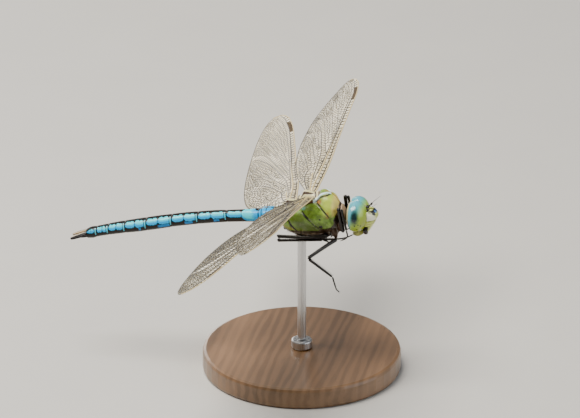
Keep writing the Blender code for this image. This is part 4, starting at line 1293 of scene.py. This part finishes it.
WINGS = {
    "fore": {
        "front": FOREWING_EDGE_FRONT, "back": FOREWING_EDGE_BACK, "hinge": FOREWING_AT,
        "veins": FOREWING_VEINS, "crosses": FOREWING_CROSSES, "spot": (0.745, 0.86),
    },
    "hind": {
        "front": HINDWING_EDGE_FRONT, "back": HINDWING_EDGE_BACK, "hinge": HINDWING_AT,
        "veins": HINDWING_VEINS, "crosses": HINDWING_CROSSES, "spot": (0.74, 0.86),
    },
}
ROOT_FRONT, ROOT_BACK = (-1.9, 0.8), (-1.9, -0.8)  # where both edges start, inside the thorax
MEMBRANULE_LINE = ((0.0, -1.6), (0.45, -3.6), (1.2, -5.4))  # the pale flap at a hindwing's root
# Rows of cells between two veins: the veins, the first and last share of the span, and the cells' length.
LADDERS = (
    ("front", "subcosta", 0.0, 0.49, 1.25),
    ("subcosta", "radius", 0.0, 0.49, 1.25),
    ("radius", "fork_1", 0.12, 0.97, 0.95),
    ("fork_3", "middle_front", 0.31, 0.68, 0.85),
)


def span_of(kind):
    """How far the flat wing reaches out, in millimetres."""
    return WINGS[kind]["front"][-1][0]


def wing_edges(kind, count=500):
    """Both edges of a flat wing as (out, forward) points, the root's own first."""
    front, back = (smooth_path(WINGS[kind][edge], count) for edge in ("front", "back"))
    return np.vstack([ROOT_FRONT, front]), np.vstack([ROOT_BACK, back])


def edges_at(kind, out):
    """How far forward the front edge and the back edge lie, this far out."""
    front, back = wing_edges(kind)
    return np.interp(out, *front.T), np.interp(out, *back.T)


def flat_place(kind, share):
    """(share of the span, share of the chord) to (out, forward): the chord runs between the two edges."""
    out = share[..., 0] * span_of(kind)
    high, low = edges_at(kind, out)
    return np.stack([out, high + (low - high) * share[..., 1]], -1)


def flat_share(kind, flat):
    """(out, forward) to (share of the span, share of the chord)."""
    out, forward = flat[..., 0], flat[..., 1]
    high, low = edges_at(kind, out)
    return np.stack([out / span_of(kind), (high - forward) / np.maximum(high - low, 0.05)], -1)


def ridge_height(kind, flat):
    """The wing's pleats: a hill or valley of the vein's ridge over every long vein, in millimetres,
    ridge exp(-(d / 0.45)^2), with d the distance across the chord. It fades in and out at the vein's
    ends and towards the tip."""
    high, low = edges_at(kind, flat[..., 0])
    along, down = np.moveaxis(flat_share(kind, flat), -1, 0)
    total = 0.10 * bump(down * (high - low), 0.0, 0.4)
    for _, ridge, line in WINGS[kind]["veins"].values():
        start, end = line[0][0], line[-1][0]
        middle = np.interp(along, *smooth_path(line, 40).T)
        inside = step(along, start, start + 0.07) * step(-along, -end, 0.04 - end)
        total = total + ridge * inside * bump((down - middle) * (high - low), 0.0, 0.45)
    return total * (1 - 0.7 * step(along, 0.1, 0.9))


def bent_wing(name, flat, lift=0.0):
    """Where places of the flat wing go in the body frame, lifted off it by so much.

    The twist is a parabola through its base, middle and tip values, and the wing is lowered by
    droop span share^2. It is then raised about X, swept about Z and set at its hinge.
    """
    kind, side, sweep, raised, (base, middle, tip), droop = WING_POSES[name]
    out, forward = flat[..., 0], flat[..., 1]
    share = out / span_of(kind)
    slope, curve = 4 * middle - 3 * base - tip, 2 * base + 2 * tip - 4 * middle
    twist = np.radians(base + slope * share + curve * share**2)
    local = np.stack([
        forward * np.cos(twist) - lift * np.sin(twist),
        side * out,
        forward * np.sin(twist) + lift * np.cos(twist) - droop * span_of(kind) * share**2,
    ], -1)
    return turned(local, (side * raised, 0, side * sweep)) + mirrored(WINGS[kind]["hinge"], side)


def film_shape(name, thickness, rows=150, strips=36):
    """The film: a closed sheet between the edges, its two faces half the thickness off the pleats."""
    kind = WING_POSES[name][0]
    fine = 2000
    at = np.linspace(0, 0.9995, rows) ** 0.97 * (fine - 1) + 1
    at[0] = 0.2
    front, back = (
        np.stack([np.interp(at, np.arange(fine + 1), column) for column in edge.T], 1)
        for edge in wing_edges(kind, fine)
    )
    across = np.linspace(0, 1, strips)
    flat = front[:, None] + (back - front)[:, None] * across[None, :, None]
    lift = ridge_height(kind, flat)
    half = np.where((across == 0) | (across == 1), 0.1, 0.5)[None] * thickness
    upper = bent_wing(name, flat, lift + half)
    lower = bent_wing(name, flat, lift - half)
    points, faces = capped(np.concatenate([upper, lower[:, ::-1]], 1))
    flat = np.concatenate([flat, flat[:, ::-1]], 1).reshape(-1, 2)
    return points, faces, np.vstack([flat, flat[:1], flat[-1:]])


def down_chord(kind, name, along):
    """How far down the chord a long vein, or the front edge, lies at shares of the span."""
    if name == "front":
        return np.zeros_like(along)
    _, _, line = WINGS[kind]["veins"][name]
    return np.interp(along, *smooth_path(line, 60).T)


def ladder_seeds(kind):
    """Middles of the cells in the single rows between close veins, and a test of what lies in them."""
    span, veins = span_of(kind), WINGS[kind]["veins"]
    spot_from, _ = WINGS[kind]["spot"]
    starts = {vein: line[0][0] for vein, (_, _, line) in veins.items()}
    node_at = veins["subcosta"][2][-1][0]
    rows = []
    for first, second, start, end, size in LADDERS:
        start = max(start, *(starts[vein] for vein in (first, second) if vein in starts))
        end = min(end, node_at - 0.01) if "subcosta" in (first, second) else end
        rows.append((first, second, start, end, np.arange(start + 0.5 * size / span, end, size / span)))
    tip, size = 0.975, 1.2
    before = np.arange(spot_from - 0.5 * size / span, node_at, -size / span)
    beyond = np.arange(spot_from + 0.5 * size / span, tip, size / span)
    rows.append(("front", "radius", node_at, tip, np.concatenate([before[::-1], beyond])))
    seeds = [
        np.stack([at, (down_chord(kind, first, at) + down_chord(kind, second, at)) / 2], 1)
        for first, second, _, _, at in rows
    ]

    def inside(share):
        along, down = share.T
        taken = np.zeros(len(along), bool)
        for first, second, start, end, _ in rows:
            behind_first = down > down_chord(kind, first, along)
            before_second = down < down_chord(kind, second, along)
            taken |= (along > start) & (along < end) & behind_first & before_second
        return taken

    return np.vstack(seeds), inside


def field_labels(kind, share):
    """Which field a place lies in: the number of the nearest long vein behind it."""
    along, down = share.T
    nearest, label = np.full(len(along), 1.0), np.full(len(along), -1)
    for number, (_, _, line) in enumerate(WINGS[kind]["veins"].values()):
        behind = np.interp(along, *smooth_path(line, 60).T, left=-1, right=-1)
        closer = (behind >= down) & (behind < nearest)
        nearest, label = np.where(closer, behind, nearest), np.where(closer, number, label)
    return label


def cell_seeds(kind, cell, seed, rounds=14):
    """Middles of the wing's cells: single rows between close veins, and elsewhere evenly spread points.

    The spread points start at random and move, round after round, to the middle of the places
    nearest to them in the same field, so that the cells come out even and six-sided.
    """
    rows, in_rows = ladder_seeds(kind)
    front, back = wing_edges(kind)
    pitch = 0.2
    out = np.arange(0.1, front[-1, 0], pitch)
    forward = np.arange(back[:, 1].min(), front[:, 1].max(), pitch)
    places = np.stack([column.ravel() for column in np.meshgrid(out, forward)], 1)
    share = flat_share(kind, places)
    keep = (share[:, 1] > 0.01) & (share[:, 1] < 0.99) & ~in_rows(share)
    places, share = places[keep], share[keep]
    size = cell * (1.08 - 0.30 * share[:, 1] - 0.18 * share[:, 0])
    weight = pitch**2 / size**2
    label = field_labels(kind, share)
    draw = np.random.RandomState(seed)
    starts = []
    for number in np.unique(label):
        mine = np.flatnonzero(label == number)
        count = max(1, int(round(weight[mine].sum())))
        starts.append(draw.choice(mine, count, replace=False, p=weight[mine] / weight[mine].sum()))
    starts = np.concatenate(starts)
    seeds, seed_label = places[starts].copy(), label[starts]
    far_apart = 30.0  # millimetres put between two fields, so that no seed takes another field's place
    sorted_places = np.column_stack([places, far_apart * label])
    for _ in range(rounds):
        sorted_seeds = np.column_stack([seeds, far_apart * seed_label])
        nearest = ((sorted_seeds**2).sum(1) - 2 * sorted_places @ sorted_seeds.T).argmin(1)
        total = np.maximum(np.bincount(nearest, weight, len(seeds)), 1e-9)
        moved = [np.bincount(nearest, weight * column, len(seeds)) / total for column in places.T]
        seeds = np.where((total > 1e-6)[:, None], np.stack(moved, 1), seeds)
    return np.vstack([flat_place(kind, rows), seeds])


def circle_centres(a, b, c):
    """The centre of the circle through each three flat points.

    With b and c measured from a, it lies at (cy b.b - by c.c, bx c.c - cx b.b) / (2 (bx cy - by cx)).
    """
    b, c = b - a, c - a
    twice = 2 * (b[:, 0] * c[:, 1] - b[:, 1] * c[:, 0])
    twice = np.where(np.abs(twice) < 1e-9, 1e-9, twice)
    bb, cc = (b**2).sum(1), (c**2).sum(1)
    x = (c[:, 1] * bb - b[:, 1] * cc) / twice
    y = (b[:, 0] * cc - c[:, 0] * bb) / twice
    return a + np.stack([x, y], 1)


def shared_sides(triangles):
    """The sides between two triangles, as pairs of their corners, and each side's two triangles."""
    pairs = np.sort(np.concatenate([triangles[:, two] for two in ([0, 1], [1, 2], [2, 0])]), axis=1)
    owner = np.tile(np.arange(len(triangles)), 3)
    sides, index, count = np.unique(pairs, axis=0, return_inverse=True, return_counts=True)
    order = np.argsort(index.ravel(), kind="stable")
    starts = np.concatenate([[0], np.cumsum(count)[:-1]])[count == 2]
    return sides[count == 2], owner[order[starts]], owner[order[starts + 1]]


def cell_net(kind, cell, seed):
    """The small veins: sides of the cells round the seeds, as pairs of places on the flat wing.

    A cell's corner is the centre of the circle through three neighbouring seeds. Sides that lie along
    a main vein or the edge are left out, and corners next to one are moved onto it.
    """
    rim_count, rim_out, shortest = 260, 0.4, 0.06
    inner = cell_seeds(kind, cell, seed)
    front, back = wing_edges(kind)
    rim = smooth_path(np.vstack([front[1::10], back[:0:-10]]), rim_count)
    outward = unit(np.stack([-np.gradient(rim[:, 1]), np.gradient(rim[:, 0])], 1))
    seeds = np.vstack([inner, rim + rim_out * outward])
    seeds, _, triangles, *_ = delaunay_2d_cdt([Vector(p) for p in seeds], [], [], 0, 1e-6)
    seeds, triangles = np.array([tuple(p) for p in seeds]), np.array(triangles)
    is_inner = np.zeros(len(seeds), bool)
    is_inner[: len(inner)] = True
    corner = circle_centres(*(seeds[triangles[:, k]] for k in range(3)))
    sides, first, second = shared_sides(triangles)
    lines = [flat_place(kind, smooth_path(line, 40)) for _, _, line in WINGS[kind]["veins"].values()]
    lines += [flat_place(kind, smooth_path(line, 16)) for _, line in WINGS[kind]["crosses"].values()]
    lines += [front[1::4], back[1::4]]
    start, end = np.vstack([line[:-1] for line in lines]), np.vstack([line[1:] for line in lines])
    crossing = crosses(seeds[sides[:, 0]], seeds[sides[:, 1]], start, end)
    near_vein = np.zeros(len(triangles), bool)
    near_vein[first[crossing]] = near_vein[second[crossing]] = True
    near_vein |= ~is_inner[triangles].all(1)
    corner[near_vein] = nearest_on(corner[near_vein], start, end)
    keep = is_inner[sides].all(1) & ~crossing
    ends = np.stack([corner[first[keep]], corner[second[keep]]], 1)
    return ends[np.linalg.norm(ends[:, 1] - ends[:, 0], axis=1) > shortest]


def crosses(p, q, a, b):
    """Whether each stretch p-q crosses any stretch a-b: the ends of each lie on both sides of the other."""
    def turn(o, u, v):
        u, v = u - o, v - o
        return u[..., 0] * v[..., 1] - u[..., 1] * v[..., 0]

    p, q, a, b = p[:, None], q[:, None], a[None], b[None]
    return ((turn(p, q, a) * turn(p, q, b) < 0) & (turn(a, b, p) * turn(a, b, q) < 0)).any(1)


def nearest_on(points, a, b):
    """The nearest place to each point on the stretches a-b."""
    along = b - a
    rel = points[:, None] - a[None]
    t = np.clip((rel * along).sum(-1) / np.maximum((along**2).sum(-1), 1e-12), 0, 1)
    place = a[None] + t[..., None] * along
    best = ((points[:, None] - place) ** 2).sum(-1).argmin(1)
    return place[np.arange(len(points)), best]


def rods(start, end, normal, radius, sides=6):
    """Short prisms from each start to its end and a little beyond, round a circle square to the rod."""
    along = unit(end - start)
    across = unit(np.cross(along, normal))
    ring = circles(across, np.cross(across, along), sides) * radius[:, None, None]
    more = along * radius[:, None] * 0.4
    points = np.concatenate([(start - more)[:, None] + ring, (end + more)[:, None] + ring], 1)
    around = np.arange(sides)
    following = (around + 1) % sides
    first = (np.arange(len(start)) * 2 * sides)[:, None, None]
    walls = np.stack([around, following, following + sides, around + sides], 1)[None] + first
    ends = np.stack([around[::-1], around + sides])[None] + first
    return points.reshape(-1, 3), [walls.reshape(-1, 4), ends.reshape(-1, sides)]


def vein_tube(name, flat, radius, sides=8):
    """A main vein laid along the pleated wing."""
    kind = WING_POSES[name][0]
    lift = ridge_height(kind, flat)
    middle = bent_wing(name, flat, lift)
    normal = unit(bent_wing(name, flat, lift + 1) - middle)
    return tube(middle, radius, sides, reference=normal.mean(0))


def vein_shape(name, net_radius, cell, seed):
    """All veins of a wing as one mesh, and how yellow each point is."""
    kind = WING_POSES[name][0]
    wing = WINGS[kind]
    parts, yellow = [], []

    def add(shape, amount):
        parts.append(shape)
        yellow.append(np.full(len(shape[0]), amount))

    fade = np.linspace(1, 0, 160)
    front_line = np.vstack([ROOT_FRONT, smooth_path(wing["front"], 159)])
    add(vein_tube(name, front_line, 0.09 + 0.07 * fade, 10), 1.0)
    add(vein_tube(name, smooth_path(wing["back"], 160), 0.06 + 0.03 * fade), -0.4)
    for line_name, (radius, _, line) in wing["veins"].items():
        path = smooth_path(line, 70)
        taper = 1.5 - 0.7 * np.clip(path[:, 0], 0, 1)
        golden = 0.7 - 2.2 * path[:, 0] if line_name in ("radius", "stem") else np.full(70, -0.5)
        amounts = np.concatenate([np.repeat(golden, 8), golden[[0, -1]]])
        add(vein_tube(name, flat_place(kind, path), radius * taper), amounts)
    for radius, line in wing["crosses"].values():
        add(vein_tube(name, flat_place(kind, smooth_path(line, 24)), np.full(24, radius)), -0.5)
    ends = cell_net(kind, cell, seed)
    share = flat_share(kind, ends.mean(1))
    in_front = share[:, 1] < down_chord(kind, "radius", np.clip(share[:, 0], 0, 0.98))
    spot_from, spot_to = wing["spot"]
    clear = ~in_front | (share[:, 0] < spot_from) | (share[:, 0] > spot_to)
    ends, share, in_front = ends[clear], share[clear], in_front[clear]
    lift = ridge_height(kind, ends)
    placed = bent_wing(name, ends, lift)
    normal = unit(bent_wing(name, ends[:, 0], lift[:, 0] + 1) - placed[:, 0])
    radius = net_radius * (1.15 - 0.35 * share[:, 0]) * np.where(in_front, 1.3, 1.0)
    add(rods(placed[:, 0], placed[:, 1], normal, radius), -0.6)
    return joined(parts), np.concatenate(yellow)


def spot_shape(name):
    """The thick coloured cell near the tip: a flat cushion between the front edge and the radius."""
    kind = WING_POSES[name][0]
    along = np.linspace(*WINGS[kind]["spot"], 30)
    across = np.linspace(0.0, 1.0, 14)
    down = down_chord(kind, "radius", along)[:, None] * across
    flat = flat_place(kind, np.stack(np.broadcast_arrays(along[:, None], down), -1))
    flat[..., 0] += 0.35 * (across - 0.5)
    lift = ridge_height(kind, flat)
    ends = rounded(np.linspace(0, 1, 30), 0.06, 0.06)[:, None]
    half = 0.10 * np.sin(np.pi * across) ** 0.3 * ends + 0.01
    upper, lower = bent_wing(name, flat, lift + half), bent_wing(name, flat, lift - half)
    return capped(np.concatenate([upper, lower[:, ::-1]], 1))


def film_material():
    """A clear, faintly golden film, clearest where it is seen square on, with a fine ripple."""
    _, _, wings = settings()
    material, tree, shader = new_material(
        "wing_film", Roughness=0.14, IOR=1.5, Specular_IOR_Level=0.8, Coat_Weight=0.3, Coat_Roughness=0.1
    )
    cloud, flap = noise(tree, 0.22), mark(tree, "membranule", 0.15, 0.1)
    tint = mixed(tree, cloud, rgba(wings.film), (0.90, 0.82, 0.60, 1))
    tree.links.new(mixed(tree, flap, tint, (0.75, 0.75, 0.72, 1)), shader.inputs["Base Color"])
    facing = node(tree, "LayerWeight", {"Blend": 0.35}).outputs["Facing"]
    cover = math_node(tree, "MULTIPLY_ADD", facing, 0.30, 0.27)
    cover = math_node(tree, "ADD", cover, math_node(tree, "MULTIPLY", cloud, 0.08))
    cover = math_node(tree, "MAXIMUM", cover, math_node(tree, "MULTIPLY", flap, 0.85))
    tree.links.new(cover, shader.inputs["Alpha"])
    roughened(tree, shader, noise(tree, 1.3, 2.0), 0.6, 0.05)
    return material


def vein_material():
    """Dark veins, yellow along the front edge and near the root."""
    _, _, wings = settings()
    marks = (("yellow", wings.edge, 0.3, 0.4),)
    return painted(
        "wing_vein", wings.vein, marks, 0.35, grain=0.35, per_mm=0.8, Coat_Weight=0.3, Coat_Roughness=0.2
    )


def build_wing_pieces():
    """Four wings, each a film, a net of veins and a coloured spot."""
    _, _, wings = settings()
    film, vein = film_material(), vein_material()
    spot = painted("wing_spot", wings.spot, (), 0.75, grain=0.3, Specular_IOR_Level=0.12)
    thickness, net_radius, cell = wings.film_thickness / MM, wings.vein_radius / MM, wings.cell / MM
    for number, (name, (kind, *_)) in enumerate(WING_POSES.items()):
        points, faces, flat = film_shape(name, thickness)
        flap = np.full(len(flat), -1.0)
        if kind == "hind":
            flap = 0.42 - polyline_distance(flat, MEMBRANULE_LINE)
        make_piece(name + "_film", (points, faces), film, [name], {"membranule": flap})
        shape, yellow = vein_shape(name, net_radius, cell, wings.seed + number)
        make_piece(name + "_veins", shape, vein, (), {"yellow": yellow})
        make_piece(name + "_spot", spot_shape(name), spot)


# ---------------------------------------------------------------- hairs
def spread_uv(piece, roots):
    """A small triangle of the texture for each hair, at its root's place on the unrolled thorax."""
    triangle = np.array([[0, 0], [0.003, 0], [0.0015, 0.003], [0.0015, 0.0], [0.0015, 0.0015]])
    per_point = (roots[:, None] + triangle[None]).reshape(-1, 2)
    uv = piece.data.uv_layers.new(name="OFBake")
    corners = np.empty(len(piece.data.loops), np.int32)
    piece.data.loops.foreach_get("vertex_index", corners)
    uv.data.foreach_set("uv", per_point[corners].astype(np.float32).ravel())


def build_hair_pieces():
    """Sparse pale hairs on the thorax: thin cones from even random places, leaning back."""
    body, _, _ = settings()
    draw = np.random.RandomState(11)
    count, thickness = 1500, 0.013
    along = draw.uniform(-3.6, 9.4, count)
    turn = draw.uniform(0, 2 * np.pi, count)
    roots = thorax_surface(along, turn)
    normal = unit(thorax_surface(along, turn, 0.5) - roots)
    lean = draw.normal(0, 0.22, (count, 3)) + np.array([-0.45, 0, 0])
    reach = body.hair_length / MM * draw.uniform(0.5, 1.1, count)
    keep = (roots[:, 2] < along_line(WING_LINE, along) - 0.3) | (along > 6.2)
    roots, normal, lean, reach = roots[keep], normal[keep], lean[keep], reach[keep]
    tips = roots + unit(normal + lean) * reach[:, None]
    shape = cones(roots - 0.1 * normal, tips, np.full(len(roots), thickness), 3)
    material, tree, shader = new_material("hair", Roughness=0.5)
    shade = mixed(tree, noise(tree, 0.6), (0.45, 0.36, 0.2, 1), (0.7, 0.62, 0.42, 1))
    tree.links.new(shade, shader.inputs["Base Color"])
    piece = make_piece("thorax_hairs", shape, material)
    unrolled = np.stack([(along[keep] + 4.3) / 14.2, turn[keep] / (2 * np.pi)], 1) * 0.99
    spread_uv(piece, unrolled)


# ---------------------------------------------------------------- stand
def wood_material():
    """Brown wood: wavy grain bands, paler clouds and dark pores, drawn out along Y."""
    colour = bpy.context.scene.dragonfly_stage.wood
    material, tree, shader = new_material("stand_wood", Roughness=0.38, Coat_Weight=0.4, Coat_Roughness=0.15)
    vector = node(tree, "Mapping", {"Vector": object_place(tree), "Scale": (1.0, 0.16, 1.0)}).outputs[0]
    clouds = node(tree, "TexNoise", {"Vector": vector, "Scale": 160.0, "Detail": 4.0}).outputs["Fac"]
    waves = {"Vector": vector, "Scale": 150.0, "Distortion": 5.0, "Detail": 3.0, "Detail Scale": 1.6}
    bands = node(tree, "TexWave", waves, bands_direction="X").outputs["Fac"]
    pores = noise(tree, 4.0, 5.0, stretch=(1.0, 0.06, 1.0))
    paint = mixed(tree, ramp(tree, bands, 0.1, 0.9), rgba(colour, 0.68), rgba(colour))
    paint = mixed(tree, ramp(tree, clouds, 0.35, 0.75, 0.0, 0.6), paint, rgba(colour, 1.5))
    paint = mixed(tree, ramp(tree, pores, 0.62, 0.72, 0.0, 0.6), paint, rgba(colour, 0.3))
    tree.links.new(paint, shader.inputs["Base Color"])
    roughened(tree, shader, pores, 0.25, 0.05)
    return material


def steel_material():
    """Steel brushed along Z."""
    material, tree, shader = new_material("stand_steel", Metallic=1.0)
    brushed = noise(tree, 3.0, 4.0, stretch=(1.0, 1.0, 0.03))
    paint = mixed(tree, brushed, (0.45, 0.45, 0.46, 1), (0.72, 0.72, 0.72, 1))
    tree.links.new(paint, shader.inputs["Base Color"])
    tree.links.new(ramp(tree, brushed, 0.2, 0.8, 0.22, 0.42), shader.inputs["Roughness"])
    roughened(tree, shader, brushed, 0.2, 0.02)
    return material


def build_stand_finish():
    """New finishes for the stand's own solids, and a small cup between the rod and the belly."""
    wood, steel = wood_material(), steel_material()
    for name, material in (("stand_base", wood), ("stand_collar", steel), ("stand_rod", steel)):
        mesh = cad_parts[name].data
        mesh.materials.clear()
        mesh.materials.append(material)
    below_top, cup_height = 1.7, 1.95
    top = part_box("stand_rod")[1].z / MM
    share = np.linspace(0, 1, 40)
    radius = np.interp(share, (0, 0.06, 0.5, 0.8, 1.0), (0.9, 1.12, 1.16, 1.7, 1.95))
    path = np.outer(share, (0, 0, cup_height)) + (0, 0, top - below_top)
    make_piece("stand_cup", tube(path, radius, 48), steel, place=None, sharp=40)


# ---------------------------------------------------------------- stage
def build_floor():
    """A pale, faintly grainy floor."""
    colour = bpy.context.scene.dragonfly_stage.floor
    material, tree, shader = new_material("floor", Roughness=0.75)
    paint = mixed(tree, noise(tree, 0.05), rgba(colour, 0.94), rgba(colour))
    tree.links.new(paint, shader.inputs["Base Color"])
    mesh = bpy.data.meshes.new("floor")
    reach = 4.0
    corners = [(x * reach, y * reach, 0) for x, y in ((-1, -1), (1, -1), (1, 1), (-1, 1))]
    mesh.from_pydata(corners, [], [(0, 1, 2, 3)])
    mesh.materials.append(material)
    floor = bpy.data.objects.new("floor", mesh)
    bpy.context.scene.collection.objects.link(floor)


def build_lamps(body, right, up, back):
    """A warm key lamp high on the left, a wide cool fill on the right, and a lamp behind for the rims."""
    key = bpy.context.scene.dragonfly_stage.key
    distance = 0.6
    for name, offset, size, power, tint in (
        ("key_lamp", -0.35 * right + 0.85 * up + 0.45 * back, (0.26, 0.42), key, (1.0, 0.96, 0.88)),
        ("fill_lamp", 0.9 * right + 0.3 * up + 0.5 * back, (0.6, 0.6), key * 0.25, (0.9, 0.95, 1.0)),
        ("rim_lamp", -0.5 * right + 0.5 * up - 0.8 * back, (0.5, 0.5), key * 0.4, (1.0, 0.97, 0.92)),
    ):
        lamp = bpy.data.lights.new(name, "AREA")
        lamp.shape, lamp.energy, lamp.color = "RECTANGLE", power, tint
        lamp.size, lamp.size_y = size
        holder = bpy.data.objects.new(name, lamp)
        holder.location = body + offset * distance
        holder.rotation_euler = (body - holder.location).to_track_quat("-Z", "Y").to_euler()
        bpy.context.scene.collection.objects.link(holder)


def build_camera(body, right, up, back):
    """A long lens far from the body, aimed a little beside it."""
    camera = bpy.data.cameras.new("camera")
    camera.lens, camera.sensor_width = 600.0, 36.0
    camera.clip_start, camera.clip_end = 0.05, 20.0
    holder = bpy.data.objects.new("camera", camera)
    bpy.context.scene.collection.objects.link(holder)
    aim_right, aim_up, distance = -2.509 * MM, 1.989 * MM, 2.2253
    holder.location = body + right * aim_right + up * aim_up + back * distance
    holder.rotation_euler = back.to_track_quat("Z", "Y").to_euler()
    bpy.context.scene.camera = holder


def build_stage():
    """A soft sky, the floor, the lamps and the camera, all set by the camera's direction."""
    stage = bpy.context.scene.dragonfly_stage
    world = bpy.data.worlds.new("soft_sky")
    world.use_nodes = True
    sky = world.node_tree.nodes["Background"]
    sky.inputs["Color"].default_value = (0.86, 0.92, 1.0, 1)
    sky.inputs["Strength"].default_value = 0.30
    bpy.context.scene.world = world
    bpy.context.scene.view_settings.look = "AgX - Punchy"
    build_floor()
    a, e = stage.azimuth, stage.elevation
    right = Vector((math.cos(a), math.sin(a), 0))
    back = Vector((math.sin(a) * math.cos(e), -math.cos(a) * math.cos(e), math.sin(e)))
    up = back.cross(right)
    body = Vector(BODY_AT) * MM
    build_lamps(body, right, up, back)
    build_camera(body, right, up, back)


# ---------------------------------------------------------------- add-on
def operator(suffix, label, about, work):
    """A one-click operator that runs the given function."""
    def execute(self, context):
        work()
        return {"FINISHED"}

    return type(
        "DRAGONFLY_OT_" + suffix, (bpy.types.Operator,),
        {"bl_idname": "dragonfly." + suffix, "bl_label": label, "__doc__": about, "execute": execute},
    )


OPERATORS = (
    operator("thorax", "Thorax", "Builds the thorax's shell", build_thorax_piece),
    operator("neck", "Neck", "Builds the collar between thorax and head", build_neck_piece),
    operator("abdomen", "Abdomen", "Builds the ten segments of the abdomen", build_abdomen_pieces),
    operator("tail", "Tail end", "Builds the blades at the end of the abdomen", build_tail_pieces),
    operator("eyes", "Eyes", "Builds the two compound eyes", build_eye_pieces),
    operator("face", "Face", "Builds the face, jaws, lips and feelers", build_face_pieces),
    operator("wings", "Wings", "Builds the four wings", build_wing_pieces),
    operator("legs", "Legs", "Builds the six legs", build_leg_pieces),
    operator("hairs", "Hairs", "Builds the thorax's hairs", build_hair_pieces),
    operator("stand", "Stand", "Finishes the display stand", build_stand_finish),
    operator("stage", "Stage", "Sets up floor, lamps and camera", build_stage),
)
GROUPS = {
    "dragonfly_body": DragonflyBody,
    "dragonfly_head": DragonflyHead,
    "dragonfly_wings": DragonflyWings,
    "dragonfly_stage": DragonflyStage,
}


class DRAGONFLY_PT_panel(bpy.types.Panel):
    """Lists the dragonfly's operators and settings."""

    bl_label = "Dragonfly"
    bl_idname = "DRAGONFLY_PT_panel"
    bl_space_type = "VIEW_3D"
    bl_region_type = "UI"
    bl_category = "Dragonfly"

    def draw(self, context):
        for made in OPERATORS:
            self.layout.operator(made.bl_idname)
        for name, group in GROUPS.items():
            box = self.layout.box()
            for key in group.__annotations__:
                box.prop(getattr(context.scene, name), key)


def register():
    """Adds the settings, the operators and the panel to Blender."""
    for made in (*GROUPS.values(), *OPERATORS, DRAGONFLY_PT_panel):
        bpy.utils.register_class(made)
    for name, group in GROUPS.items():
        setattr(bpy.types.Scene, name, PointerProperty(type=group))


def unregister():
    """Takes them out again, in the opposite order."""
    for name in GROUPS:
        delattr(bpy.types.Scene, name)
    for made in (DRAGONFLY_PT_panel, *reversed(OPERATORS), *reversed(GROUPS.values())):
        bpy.utils.unregister_class(made)


def main():
    """Builds every piece in order and writes the sizes of the solids and of the finished object."""
    register()
    for made in OPERATORS:
        getattr(bpy.ops.dragonfly, made.bl_idname.split(".")[1])()


if __name__ == "__main__":
    main()
